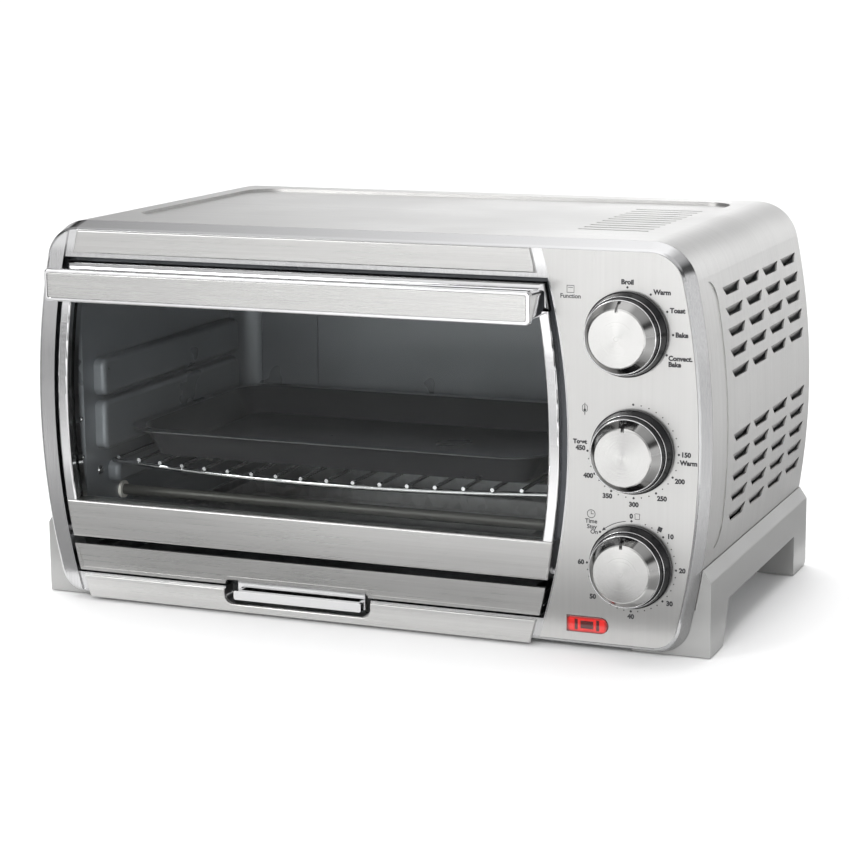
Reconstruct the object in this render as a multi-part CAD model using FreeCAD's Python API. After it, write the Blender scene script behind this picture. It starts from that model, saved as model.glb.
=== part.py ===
import FreeCAD, Part
import math
import os

# Countertop convection toaster oven.
# X is the width, Z is up and Y is the depth. Every sub-part is drawn with Y measured back from the
# front face of the oven, and save() moves it so that the origin lies on the floor under the middle
# of the whole. All sizes are millimetres.

V = FreeCAD.Vector
os.makedirs("parts", exist_ok=True)

# Body: a box with bowed sides, widest at WIDEST_LEVEL
BODY_WIDTH = 500.0
BODY_HEIGHT = 275.0
BODY_DEPTH = 280.0
HALF = BODY_WIDTH / 2
SIDE_RADIUS = 535.0
WIDEST_LEVEL = 140.0
ROOF_CORNER = 31.0
SHEET = 1.2
SEAM = 0.4

# Front bezel
BEZEL_DEPTH = 13.0
BEZEL_TAPER = 4.5
BEZEL_FLOOR_GAP = 2.0
BEZEL_BACK = 19.0
FACE_CORNER = 24.0
FACE_FOOT_CORNER = 18.0
STRIP_WIDTH = 17.0
POCKET_DEPTH = 1.4
RIM = 1.0
PLATE_PROUD = 0.8
GAP = 0.4

# Control panel, at the right
PANEL_WIDTH = 93.7
PANEL_LEFT = HALF - PANEL_WIDTH
PANEL_LEFT_RADIUS = 440.0
CHANNEL = 1.5

# Door, between the left strip and the panel
DOOR_GAP = 3.0
DOOR_TO_PANEL = 6.3
DOOR_HALF = (BODY_WIDTH - STRIP_WIDTH - DOOR_GAP - PANEL_WIDTH - DOOR_TO_PANEL) / 2
DOOR_X = DOOR_HALF + DOOR_GAP + STRIP_WIDTH - HALF
DOOR_RADIUS = SIDE_RADIUS - STRIP_WIDTH - DOOR_GAP
DOOR_BOTTOM = 47.0
DOOR_TOP = BODY_HEIGHT - 28.0
DOOR_THICK = 15.0
DOOR_FOOT_BAR = 27.0
DOOR_HEAD_BAR = 19.0
DOOR_RAIL = 8.0
GLASS_FRONT = 5.0
GLASS_THICK = 4.0
GLASS_GRIP = 5.0
HINGE_DEPTH = 8.0
HINGE_HEIGHT = 5.0
HINGE_PIN_R = 2.5
HINGE_PIN_LENGTH = 22.0
BUSH_R = 4.5
RUNNING = 0.05

# Handle
HANDLE_REACH = 30.0
HANDLE_HALF = DOOR_HALF - 10.5
HANDLE_TOP = DOOR_TOP - 2.0
HANDLE_BOTTOM = HANDLE_TOP - 22.5
HANDLE_THICK = 6.0
HANDLE_RIM = 2.2
HANDLE_POST = 9.0

# Plates above and below the door
RAIL_HALF = DOOR_HALF - 4.5
TOP_RAIL_BOTTOM = BODY_HEIGHT - 22.0
FOOT_RAIL_HALF = DOOR_HALF - 2.4
FOOT_RAIL_TOP = 19.0

# Crumb tray
TRAY_FRONT_HALF = DOOR_HALF - 0.5
TRAY_FRONT_BOTTOM = 22.7
TRAY_FRONT_TOP = 42.0
TRAY_FLOOR = 24.0
TRAY_WALL = 12.0
NOTCH_LEFT = DOOR_X - 60.0
NOTCH_RIGHT = DOOR_X + 52.0
NOTCH_BOTTOM = 8.3
NOTCH_TOP = 26.0
GRIP_BOTTOM = 11.5
GRIP_TOP = 18.0

# Knobs and pilot lamp
KNOB_LEVELS = {"function": 216.0, "temperature": 139.0, "timer": 62.0}
KNOB_FROM_SIDE = {"function": 54.5, "temperature": 50.0, "timer": 50.5}
KNOBS = {name: (HALF - KNOB_FROM_SIDE[name], KNOB_LEVELS[name]) for name in KNOB_LEVELS}
KNOB_SKIRT_R = 28.0
KNOB_STEP_R = 25.6
KNOB_BASE_R = 23.8
KNOB_FACE_R = 18.6
KNOB_CLEARANCE = 0.6
KNOB_FLANGE = 2.4
KNOB_STEP = 10.0
KNOB_BASE = 15.5
KNOB_REACH = 23.0
SHAFT_R = 3.0
SHAFT_END = 38.0
BRACKET_FRONT = 19.5
LENS_LEFT = PANEL_LEFT - 1.3
LENS_RIGHT = PANEL_LEFT + 27.7
LENS_BOTTOM = 14.0
LENS_TOP = 25.0

# Oven cavity
CAVITY_HALF = DOOR_HALF - 10.0
CAVITY_FLOOR = 56.0
CAVITY_ROOF = DOOR_TOP - 6.0
CAVITY_BACK = BODY_DEPTH - 10.0
CAVITY_CORNER = 20.0
LINER = 1.0
FLANGE_HALF = CAVITY_HALF
BULGE = 9.0
SHELF_LEVEL = 92.0
HEATER_R = 4.0
HEATER_DEPTHS = (70.0, CAVITY_BACK - 60.0)
UPPER_HEATER = CAVITY_ROOF - 12.0
LOWER_HEATER = CAVITY_FLOOR + 11.0
FAN_DEPTH = CAVITY_BACK - 120.0
FAN_LEVEL = 158.0
FAN_R = 36.0
FAN_OPENING_R = 42.0

# Rack, baking pan and the crumb tray's reach
TRAY_HALF = DOOR_HALF - 25.0
TRAY_REAR = BODY_DEPTH - 18.0
RACK_HALF = CAVITY_HALF - 7.0
RACK_FRONT = 24.0
RACK_BOW = 24.0
RACK_REAR = CAVITY_BACK - 10.0
RACK_WIRE_R = 2.0
RACK_BAR_R = 1.4
RACK_PITCH = 19.8
PAN_HALF = CAVITY_HALF - 15.0
PAN_FRONT = 37.0
PAN_REAR = CAVITY_BACK - 24.0
PAN_DEPTH = 21.5
PAN_SHEET = 1.2

# Feet and base
FOOT_TOP = 52.0
FOOT_LEDGE = 60.0
FOOT_ARCH = 33.0
FOOT_WALL = 3.0
LEG_INNER = 24.0
TOE_INNER = 54.0
FRONT_LEG_END = 46.0
ARCH_START = 60.0
REAR_LEG_START = BODY_DEPTH - 38.0
PAD_HEIGHT = 0.8
BASE_LEVEL = 34.0
WELL_LEVEL = 18.0
WELL_HALF = TRAY_HALF + 16.0

# Cord gland
GLAND_R = 8.0
GLAND_BORE = 3.6
GLAND_PROUD = 5.0
GLAND_FROM_SIDE = 70.0
GLAND_LEVEL = 72.0

# Derived places
FACE_Y = (HANDLE_REACH - BODY_DEPTH - GLAND_PROUD) / 2
HINGE_LEVEL = DOOR_BOTTOM + HINGE_HEIGHT
FAR = 400.0
WALL_X = DOOR_X - CAVITY_HALF
FACE_TOP = BODY_HEIGHT - BEZEL_TAPER


def save(name, *solids):
    """Write one sub-part, moved from the front face to the middle of the oven."""
    shapes = [piece for solid in solids for piece in solid.Solids]
    result = shapes[0] if len(shapes) == 1 else Part.makeCompound(shapes)
    result = result.copy()
    result.translate(V(0, FACE_Y, 0))
    result.exportStep("parts/" + name + ".step")


def box(x0, x1, y0, y1, z0, z1):
    return Part.makeBox(x1 - x0, y1 - y0, z1 - z0, V(x0, y0, z0))


def rod(start, end, radius):
    along = end - start
    return Part.makeCylinder(radius, along.Length, start, along)


def tube(start, end, outer, inner):
    return rod(start, end, outer).cut(rod(start, end, inner))


def cone(start, end, r_start, r_end):
    along = end - start
    return Part.makeCone(r_start, r_end, along.Length, start, along)


def prism(points, direction):
    wire = Part.makePolygon(points + [points[0]])
    return Part.Face(wire).extrude(direction)


def join(shapes):
    return shapes[0].multiFuse(shapes[1:]).removeSplitter()


def cut_all(shape, tools):
    return shape.cut(Part.makeCompound(tools)) if tools else shape


def mirror_x(shape, at=0.0):
    return shape.mirror(V(at, 0, 0), V(1, 0, 0))


def round_edges(shape, radius, chosen):
    edges = [edge for edge in shape.Edges if chosen(edge)]
    return shape.makeFillet(radius, edges)


def lies_at(axis, value):
    """Chooses edges that lie wholly in one plane."""
    def chosen(edge):
        box_of = edge.BoundBox
        low, high = {"x": (box_of.XMin, box_of.XMax), "y": (box_of.YMin, box_of.YMax),
                     "z": (box_of.ZMin, box_of.ZMax)}[axis]
        return abs(low - value) < 1e-3 and abs(high - value) < 1e-3
    return chosen


def runs_along(axis, length):
    """Chooses straight edges of one length that run along one axis."""
    way = {"x": V(1, 0, 0), "y": V(0, 1, 0), "z": V(0, 0, 1)}[axis]

    def chosen(edge):
        if not isinstance(edge.Curve, Part.Line) or abs(edge.Length - length) > 1e-3:
            return False
        return abs(edge.tangentAt(edge.FirstParameter).dot(way)) > 0.999
    return chosen


def side_x(z, inset=0.0):
    """Half width of the bowed body at a level, some way in from its outer face."""
    radius = SIDE_RADIUS - inset
    return HALF - SIDE_RADIUS + math.sqrt(radius ** 2 - (z - WIDEST_LEVEL) ** 2)


def outline(centre, half, radius, z0, z1, r_top=0.0, r_foot=0.0, y=0.0):
    """Closed wire with two bowed sides, flat top and bottom, and rounded corners."""
    hub = centre + half - radius

    def side(z):
        return hub + math.sqrt(radius ** 2 - (z - WIDEST_LEVEL) ** 2)

    def corner(edge_z, r, up):
        """Tangent points and middle of a corner arc; one point where the corner is sharp."""
        if r <= 0:
            return [(side(edge_z), edge_z)]
        zc = edge_z - up * r
        xc = hub + math.sqrt((radius - r) ** 2 - (zc - WIDEST_LEVEL) ** 2)
        tilt = math.atan2(zc - WIDEST_LEVEL, xc - hub)
        middle = (tilt + up * math.pi / 2) / 2
        return [(xc + r * math.cos(a), zc + r * math.sin(a)) for a in (tilt, middle, up * math.pi / 2)]

    def place(point, mirrored):
        x, z = point
        return V(2 * centre - x if mirrored else x, y, z)

    top = corner(z1, r_top, 1)
    foot = corner(z0, r_foot, -1)
    level = (top[0][1] + foot[0][1]) / 2
    edges = []
    for mirrored in (False, True):
        half_edges = [Part.Arc(place(foot[0], mirrored), place((side(level), level), mirrored),
                               place(top[0], mirrored)).toShape()]
        for points in (top, foot):
            if len(points) == 3:
                half_edges.append(Part.Arc(*[place(p, mirrored) for p in points]).toShape())
        edges.extend(half_edges)
    for points in (top, foot):
        edges.append(Part.LineSegment(place(points[-1], False), place(points[-1], True)).toShape())
    return Part.Wire(Part.__sortEdges__(edges))


def slab(wire, y0, y1):
    """Extrudes an outline from one depth to another."""
    face = Part.Face(wire)
    face.translate(V(0, y0, 0))
    return face.extrude(V(0, y1 - y0, 0))


def body_slab(inset, y0, y1, r_top, z0=None, r_foot=0.0):
    """Slice of the bowed body, set in from its outer face all round the sides and roof."""
    low = BASE_LEVEL if z0 is None else z0
    wire = outline(0, HALF - inset, SIDE_RADIUS - inset, low, BODY_HEIGHT - inset, r_top, r_foot)
    return slab(wire, y0, y1)


def rounded_panel(x0, x1, z0, z1, radius, y0, y1):
    """Rounded rectangle facing forward."""
    shape = box(x0, x1, y0, y1, z0, z1)
    return round_edges(shape, radius, runs_along("y", y1 - y0))


def left_of_panel(edge, y0, y1):
    """Everything left of the bowed line that parts the door from the control panel."""
    return slab(outline(edge - FAR, FAR, PANEL_LEFT_RADIUS, -20, BODY_HEIGHT + 20), y0, y1)


def right_of_strip(edge, y0, y1):
    """Everything right of the bowed inner edge of the left trim strip."""
    return slab(outline(edge + FAR, FAR, SIDE_RADIUS - STRIP_WIDTH, -20, BODY_HEIGHT + 20), y0, y1)


def door_slab(inset, z0, z1, y0, y1, half=DOOR_HALF, r_top=0.0, r_foot=0.0):
    """Slice of the bowed shape that the door, tray front and rail plates share."""
    return slab(outline(DOOR_X, half - inset, DOOR_RADIUS - inset, z0, z1, r_top, r_foot), y0, y1)


# ---------------------------------------------------------------- housing and base

ROOF_PANEL = dict(half=HALF - 53.0, front=55.0, rear=BODY_DEPTH - 18.0, drop=2.0, corner=22.0)
ROOF_SLOTS = dict(left=HALF - 116.0, right=HALF - 66.0, first=68.0, count=12, pitch=13.2, width=3.0)
LOUVRE_COLUMNS = (72.0, 124.0, 176.0, 228.0)
LOUVRE_ROWS = [top - 13.75 * row for top in (233.5, 135.3) for row in range(5)]
LOUVRE = dict(lead=8.0, top=36.0, foot=30.0, height=6.3, depth=3.6, corner=1.8)
BEAD = dict(depth=48.0, width=6.5, deep=0.7, top=231.0, foot=86.0, curl=13.0)


def roof_pocket(grow, sink):
    """Shallow rectangular pocket pressed into the roof."""
    p = ROOF_PANEL
    level = BODY_HEIGHT - p["drop"] - sink
    reach = p["half"] + grow
    shape = box(-reach, reach, p["front"] - grow, p["rear"] + grow, level, BODY_HEIGHT + 5)
    return round_edges(shape, p["corner"] + grow, runs_along("z", BODY_HEIGHT + 5 - level))


def louvre_window(y, z):
    """Opening of one louvre through the right-hand side."""
    size = LOUVRE
    reach = HALF + 5
    points = [V(reach, y - size["lead"], z + size["height"]), V(reach, y + size["top"], z + size["height"]),
              V(reach, y + size["foot"], z), V(reach, y, z)]
    window = prism(points, V(-40, 0, 0))

    def lower_corner(edge):
        return runs_along("x", 40.0)(edge) and edge.CenterOfMass.z < z + 1
    return round_edges(window, size["corner"], lower_corner)


def louvre_tongue(y, z):
    """Strip that the louvre turns inward, hung from the top of its opening."""
    size = LOUVRE
    top = z + size["height"] + 0.4
    skin = side_x(top, 0.1)
    foot = skin - size["depth"]
    points = [V(skin, y - size["lead"] + 1, top), V(skin, y + size["top"] - 1, top),
              V(foot, y + size["foot"] - 1, z), V(foot, y + 1, z)]
    return prism(points, V(-0.9, 0, 0))


def side_bead():
    """Groove pressed into the side, upright with both ends curled forward."""
    b = BEAD
    half = b["width"] / 2
    reach = HALF + 5
    upright = box(reach - 40, reach, b["depth"] - half, b["depth"] + half, b["foot"], b["top"])
    pieces = [upright]
    for level, up in ((b["top"], 1), (b["foot"], -1)):
        hub = V(reach - 40, b["depth"] - b["curl"], level)
        ring = tube(hub, hub + V(40, 0, 0), b["curl"] + half, b["curl"] - half)
        low, high = (level, level + 40) if up > 0 else (level - 40, level)
        pieces.append(ring.common(box(reach - 40, reach, hub.y, hub.y + 40, low, high)))
    band = join(pieces)
    return band.cut(body_slab(b["deep"], 0, BODY_DEPTH, ROOF_CORNER))


def outer_housing():
    start = BEZEL_DEPTH + SEAM
    outer = body_slab(0, start, BODY_DEPTH, ROOF_CORNER).cut(roof_pocket(0, 0))
    inner = body_slab(SHEET, start - 1, BODY_DEPTH + 1, ROOF_CORNER - SHEET, BASE_LEVEL - 5)
    inner = inner.cut(roof_pocket(SHEET, SHEET))
    skin = outer.cut(inner)
    windows = [louvre_window(y, z) for y in LOUVRE_COLUMNS for z in LOUVRE_ROWS] + [side_bead()]
    slots = []
    s = ROOF_SLOTS
    for row in range(s["count"]):
        y = s["first"] + row * s["pitch"]
        slots.append(box(s["left"], s["right"], y, y + s["width"], BODY_HEIGHT - 15, BODY_HEIGHT))
    skin = cut_all(skin, windows + [mirror_x(w) for w in windows] + slots)
    tongues = [louvre_tongue(y, z) for y in LOUVRE_COLUMNS for z in LOUVRE_ROWS]
    return skin.multiFuse(tongues + [mirror_x(t) for t in tongues])


def rear_panel():
    """Back cover, set just inside the housing, with a field of vent slots."""
    thick = 1.0
    plate = body_slab(SHEET + 0.2, BODY_DEPTH - 1 - thick, BODY_DEPTH - 1, ROOF_CORNER - SHEET - 0.2,
                      BASE_LEVEL + SHEET + 0.2)
    tab = box(DOOR_X - WELL_HALF, DOOR_X + WELL_HALF, BODY_DEPTH - 1 - thick, BODY_DEPTH - 1, WELL_LEVEL,
              BASE_LEVEL + 9)
    plate = join([plate, tab])
    slots = [rounded_panel(60 + 22 * column, 78 + 22 * column, level, level + 4, 1.9,
                           BODY_DEPTH - 5, BODY_DEPTH)
             for column in range(6) for level in range(90, 230, 12)]
    slots += [rounded_panel(-190 + 34 * column, -166 + 34 * column, level, level + 4, 1.9,
                            BODY_DEPTH - 5, BODY_DEPTH) for column in range(6) for level in (222, 234)]
    return cut_all(plate, slots + [rod(gland_centre(-20), gland_centre(20), GLAND_R + 0.1)])


def gland_centre(back):
    return V(HALF - GLAND_FROM_SIDE, BODY_DEPTH + back, GLAND_LEVEL)


def cord_gland():
    """Bush that the supply lead leaves through, with no lead in it."""
    thick = 1.0
    flange = rod(gland_centre(-1), gland_centre(GLAND_PROUD), GLAND_R + 3)
    neck = rod(gland_centre(-1 - thick - 8), gland_centre(-0.5), GLAND_R)
    bore = rod(gland_centre(-20), gland_centre(20), GLAND_BORE)
    return join([flange, neck]).cut(bore)


def base_pan():
    """Folded floor sheet with a sunk well along which the crumb tray slides."""
    rim = side_x(BASE_LEVEL, SHEET + 0.3)
    well_left, well_right = DOOR_X - WELL_HALF, DOOR_X + WELL_HALF
    t = SHEET
    points = [(-rim, BASE_LEVEL), (well_left, BASE_LEVEL), (well_left, WELL_LEVEL), (well_right, WELL_LEVEL),
              (well_right, BASE_LEVEL), (rim, BASE_LEVEL), (rim, BASE_LEVEL + 9), (rim - t, BASE_LEVEL + 9),
              (rim - t, BASE_LEVEL + t), (well_right - t, BASE_LEVEL + t), (well_right - t, WELL_LEVEL + t),
              (well_left + t, WELL_LEVEL + t), (well_left + t, BASE_LEVEL + t), (-rim + t, BASE_LEVEL + t),
              (-rim + t, BASE_LEVEL + 9), (-rim, BASE_LEVEL + 9)]
    start = BEZEL_BACK + SEAM
    pan = prism([V(x, start, z) for x, z in points], V(0, BODY_DEPTH - 2.2 - start, 0))
    vents = []
    for number in range(8):
        vent = rounded_panel(0, 30, 0, 5, 2.4, 0, 6)
        vent.rotate(V(0, 0, 0), V(1, 0, 0), 90)
        vent.translate(V(well_right + 18, 90 + 18 * number, BASE_LEVEL + 3))
        vents.append(vent)
    return cut_all(pan, vents)


# ---------------------------------------------------------------- front

def front_bezel():
    """Moulded surround: a tapered rim, a wide left strip and a shallow pocket for the plates."""
    face_wire = outline(0, HALF - BEZEL_TAPER, SIDE_RADIUS - BEZEL_TAPER,
                        BEZEL_FLOOR_GAP + BEZEL_TAPER, FACE_TOP,
                        FACE_CORNER, FACE_FOOT_CORNER)
    back_wire = outline(0, HALF, SIDE_RADIUS, BEZEL_FLOOR_GAP, BODY_HEIGHT, ROOF_CORNER, FACE_FOOT_CORNER + 4,
                        BEZEL_DEPTH)
    rim = Part.makeLoft([face_wire, back_wire], True, True)
    rim = round_edges(rim, 2.6, lies_at("y", 0))
    skirt_inset = SHEET + 0.3
    skirt = body_slab(skirt_inset, BEZEL_DEPTH - 1, BEZEL_BACK, ROOF_CORNER - skirt_inset, BASE_LEVEL + 3)
    bezel = rim.fuse(skirt)
    pocket = body_slab(BEZEL_TAPER + RIM, -1, POCKET_DEPTH, FACE_CORNER - RIM,
                       BEZEL_FLOOR_GAP + BEZEL_TAPER + RIM, FACE_FOOT_CORNER - RIM)
    pocket = pocket.common(right_of_strip(STRIP_WIDTH - HALF, -2, POCKET_DEPTH + 1))
    opening = right_of_strip(STRIP_WIDTH - HALF, -2, 30).common(left_of_panel(PANEL_LEFT - CHANNEL, -2, 30))
    opening = opening.common(box(-HALF, HALF, -2, 30, FOOT_RAIL_TOP + 1.5, TOP_RAIL_BOTTOM - 3))
    controls = rounded_panel(PANEL_LEFT + 12, HALF - 18, 38, 246, 12, -2, 30)
    lamp = box(LENS_LEFT + 1, LENS_RIGHT - 1, -2, 30, LENS_BOTTOM + 1, LENS_TOP - 1)
    notch = rounded_panel(NOTCH_LEFT, NOTCH_RIGHT, NOTCH_BOTTOM, NOTCH_TOP, 7, -2, BEZEL_BACK + 5)
    bores = []
    for side in (-1, 1):
        x0, x1 = hinge_span(side)
        bores.append(rod(hinge_axis(x0), hinge_axis(x1), BUSH_R))
        tip = hinge_side(side) + side * (HINGE_PIN_LENGTH / 2 + 0.5)
        bores.append(rod(hinge_axis(hinge_side(side)), hinge_axis(tip), HINGE_PIN_R + 0.5))
    plate_seat = foot_rail_slab(0.3, -5, POCKET_DEPTH)
    return cut_all(bezel, [pocket, opening, controls, lamp, notch, plate_seat] + bores)


def hinge_axis(x):
    return V(x, HINGE_DEPTH, HINGE_LEVEL)


def hinge_side(side):
    """X of the end face of the door beside the hinge, at hinge height."""
    drop = (HINGE_LEVEL - WIDEST_LEVEL) ** 2 / (2 * DOOR_RADIUS)
    return DOOR_X + side * (DOOR_HALF - drop)


def hinge_span(side):
    """X range of the bearing bush in the bezel beside the door."""
    near = hinge_side(side) + side * 3.4
    far = near + side * 8
    return min(near, far), max(near, far)


def hinge_pins():
    pins = []
    for side in (-1, 1):
        start = hinge_side(side) - side * HINGE_PIN_LENGTH / 2
        pins.append(rod(hinge_axis(start), hinge_axis(start + side * HINGE_PIN_LENGTH), HINGE_PIN_R))
    return pins


def hinge_bushes():
    bushes = []
    for side in (-1, 1):
        x0, x1 = hinge_span(side)
        bushes.append(tube(hinge_axis(x0), hinge_axis(x1), BUSH_R, HINGE_PIN_R + RUNNING))
    return bushes


def trim_plate(shape, softness=0.9):
    """Rounds the front edges of a plate."""
    return round_edges(shape, softness, lies_at("y", -PLATE_PROUD))


def top_rail_plate():
    top = FACE_TOP - RIM - GAP
    return trim_plate(door_slab(0, TOP_RAIL_BOTTOM, top, -PLATE_PROUD, POCKET_DEPTH, RAIL_HALF))


def foot_rail_slab(grow, y0, y1):
    """Block of the plate below the tray, which covers the bezel down to its lower edge."""
    return door_slab(-grow, BEZEL_FLOOR_GAP + 0.8 - grow, FOOT_RAIL_TOP + grow, y0, y1, FOOT_RAIL_HALF)


def bottom_rail_plate():
    plate = foot_rail_slab(0, -PLATE_PROUD, POCKET_DEPTH)
    notch = rounded_panel(NOTCH_LEFT, NOTCH_RIGHT, NOTCH_BOTTOM, NOTCH_TOP + 10, 6.5, -5, 5)
    return trim_plate(plate.cut(notch))


def control_panel():
    face = 0.2
    inset = BEZEL_TAPER + RIM + GAP
    low = BEZEL_FLOOR_GAP + inset
    plate = body_slab(inset, face, POCKET_DEPTH, FACE_CORNER - RIM, low, FACE_FOOT_CORNER - RIM)
    plate = plate.cut(left_of_panel(PANEL_LEFT, face - 1, POCKET_DEPTH + 1))
    holes = [rod(V(x, -5, z), V(x, 5, z), SHAFT_R + 2.5) for x, z in KNOBS.values()]
    return cut_all(plate, holes + [lens_shape(0.2, -5, 5)])


def lens_shape(grow, y0, y1):
    """D-shaped outline of the pilot lamp, round at its right-hand end."""
    radius = (LENS_TOP - LENS_BOTTOM) / 2 + grow
    middle = (LENS_TOP + LENS_BOTTOM) / 2
    hub = LENS_RIGHT - radius + grow
    body = box(LENS_LEFT - grow, hub, y0, y1, middle - radius, middle + radius)
    return join([body, rod(V(hub, y0, middle), V(hub, y1, middle), radius)])


def indicator_lens():
    return round_edges(lens_shape(0, -0.8, POCKET_DEPTH), 0.7, lies_at("y", -0.8))


def indicator_lamp():
    """Neon pilot lamp clipped behind its lens."""
    x, z = (LENS_LEFT + LENS_RIGHT) / 2, (LENS_TOP + LENS_BOTTOM) / 2
    holder = rounded_panel(LENS_LEFT + 2, LENS_RIGHT - 2, LENS_BOTTOM + 2, LENS_TOP - 2, 1.5,
                           POCKET_DEPTH + 0.2, 26)
    leads = [rod(V(x + side * 5, 26, z), V(x + side * 5, 40, z), 0.9) for side in (-1, 1)]
    return join([holder] + leads)


# ---------------------------------------------------------------- knobs and controls

def knob_skirt(x, z):
    """Black base of a knob: a flange by the panel, then two tapering steps."""
    flange_front = -KNOB_CLEARANCE - KNOB_FLANGE
    flange = rod(V(x, -KNOB_CLEARANCE, z), V(x, flange_front, z), KNOB_SKIRT_R)
    lower = cone(V(x, flange_front, z), V(x, -KNOB_STEP, z), KNOB_SKIRT_R - 0.5, KNOB_STEP_R)
    upper = cone(V(x, -KNOB_STEP, z), V(x, -KNOB_BASE, z), KNOB_STEP_R - 0.6, KNOB_BASE_R + 0.2)
    return join([flange, lower, upper]).cut(rod(V(x, -20, z), V(x, 5, z), SHAFT_R))


def knob_cap(x, z):
    """Metal cap of a knob: a cone with a flat face, and a pointer groove down its top flank."""
    lip = 0.8
    body = cone(V(x, -KNOB_BASE, z), V(x, lip - KNOB_REACH, z), KNOB_BASE_R, KNOB_FACE_R + lip)
    nose = cone(V(x, lip - KNOB_REACH, z), V(x, -KNOB_REACH, z), KNOB_FACE_R + lip, KNOB_FACE_R)
    cap = join([body, nose])
    half, deep = 1.1, 1.8
    past_face, past_base, clear = -KNOB_REACH - 1, 1 - KNOB_BASE, KNOB_BASE_R + 5
    foot = [(past_face, KNOB_FACE_R - deep), (-KNOB_REACH, KNOB_FACE_R - deep), (-KNOB_BASE, KNOB_BASE_R - deep),
            (past_base, KNOB_BASE_R - deep), (past_base, clear), (past_face, clear)]
    groove = prism([V(x - half, y, z + up) for y, up in foot], V(2 * half, 0, 0))
    return cap.cut(groove).cut(rod(V(x, 5 - KNOB_REACH, z), V(x, 5, z), SHAFT_R))


def knob_shaft(x, z):
    """D-section spindle; the flat lies under the cap."""
    return rod(V(x, -KNOB_REACH + 5, z), V(x, SHAFT_END, z), SHAFT_R)


def control_body(x, z, half_width, half_height, y_end):
    """Switch case with the bush that its spindle turns in."""
    case = rounded_panel(x - half_width, x + half_width, z - half_height, z + half_height, 3,
                         BRACKET_FRONT + 1.2, y_end)
    bush = rod(V(x, 4, z), V(x, BRACKET_FRONT + 2, z), 5.0)
    bore = rod(V(x, 0, z), V(x, SHAFT_END + 1, z), SHAFT_R + RUNNING)
    return join([case, bush]).cut(bore)


def control_bracket():
    """Folded plate behind the panel that carries the three controls."""
    left, right = PANEL_LEFT + 5.2, side_x(246, SHEET + 6)
    plate = box(left, right, BRACKET_FRONT, BRACKET_FRONT + 1.2, 40, 246)
    lip = box(left, left + 1.2, BRACKET_FRONT, 60, 40, 246)
    feet = box(left, right, BRACKET_FRONT, 40, BASE_LEVEL + SHEET, BASE_LEVEL + SHEET + 1.2)
    toe = box(left, right, BRACKET_FRONT, BRACKET_FRONT + 1.2, BASE_LEVEL + SHEET, 41)
    holes = [rod(V(x, 0, z), V(x, 40, z), 5.1) for x, z in KNOBS.values()]
    return cut_all(join([plate, lip, feet, toe]), holes)


def timer_bell():
    """Bell dome on the back of the timer, on its post."""
    x, z = KNOBS["timer"]
    dome = cone(V(x, 68, z), V(x, 78, z), 18, 10).cut(cone(V(x, 67, z), V(x, 76.8, z), 17.2, 9))
    post = rod(V(x, 62, z), V(x, 80, z), 2.5)
    return join([dome, post])


def terminal_block():
    foot, middle = BASE_LEVEL + SHEET, BODY_DEPTH - 35
    block = rounded_panel(PANEL_LEFT + 10, PANEL_LEFT + 50, foot, foot + 14, 1.5, middle - 9, middle + 9)
    wells = [rod(V(PANEL_LEFT + 16 + 9.5 * n, middle, BASE_LEVEL + 6), V(PANEL_LEFT + 16 + 9.5 * n, middle, 80), 2.2)
             for n in range(4)]
    return cut_all(block, wells)


# ---------------------------------------------------------------- door

def glass_room(grow):
    """Space that the door glass fills in its frame, with some room around it."""
    return door_slab(3 - grow, DOOR_BOTTOM + DOOR_FOOT_BAR - GLASS_GRIP - grow,
                     DOOR_TOP - DOOR_HEAD_BAR + GLASS_GRIP + grow, GLASS_FRONT - grow,
                     GLASS_FRONT + GLASS_THICK + grow)


def door_bar(z0, z1, softness):
    bar = door_slab(0, z0, z1, -PLATE_PROUD, DOOR_THICK)
    bar = round_edges(bar, softness, lies_at("y", -PLATE_PROUD))
    return bar.cut(glass_room(0.15))


def door_bottom_bar():
    bar = door_bar(DOOR_BOTTOM, DOOR_BOTTOM + DOOR_FOOT_BAR, 1.6)
    reach = HINGE_PIN_LENGTH / 2
    sockets = [rod(hinge_axis(hinge_side(side) - side * reach), hinge_axis(hinge_side(side) + side * reach),
                   HINGE_PIN_R)
               for side in (-1, 1)]
    return cut_all(bar, sockets)


def door_top_bar():
    bar = door_bar(DOOR_TOP - DOOR_HEAD_BAR, DOOR_TOP, 6.0)
    return cut_all(bar, [rod(V(x, -20, z), V(x, 30, z), HANDLE_SCREW_R) for x, z in handle_screw_places()])


def door_side_rails():
    low, high = DOOR_BOTTOM + DOOR_FOOT_BAR, DOOR_TOP - DOOR_HEAD_BAR
    ring = door_slab(0, low, high, -PLATE_PROUD, DOOR_THICK).cut(door_slab(DOOR_RAIL, low, high, -5, 30))
    ring = round_edges(ring, 1.5, lambda edge: lies_at("y", -PLATE_PROUD)(edge) and edge.Length > 50)
    return ring.cut(glass_room(0.15))


HANDLE_SCREW_R = 2.0


def handle_screw_places():
    reach = HANDLE_HALF - HANDLE_POST / 2
    return [(DOOR_X - reach, HANDLE_TOP - 6.5), (DOOR_X + reach, HANDLE_TOP - 6.5)]


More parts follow.
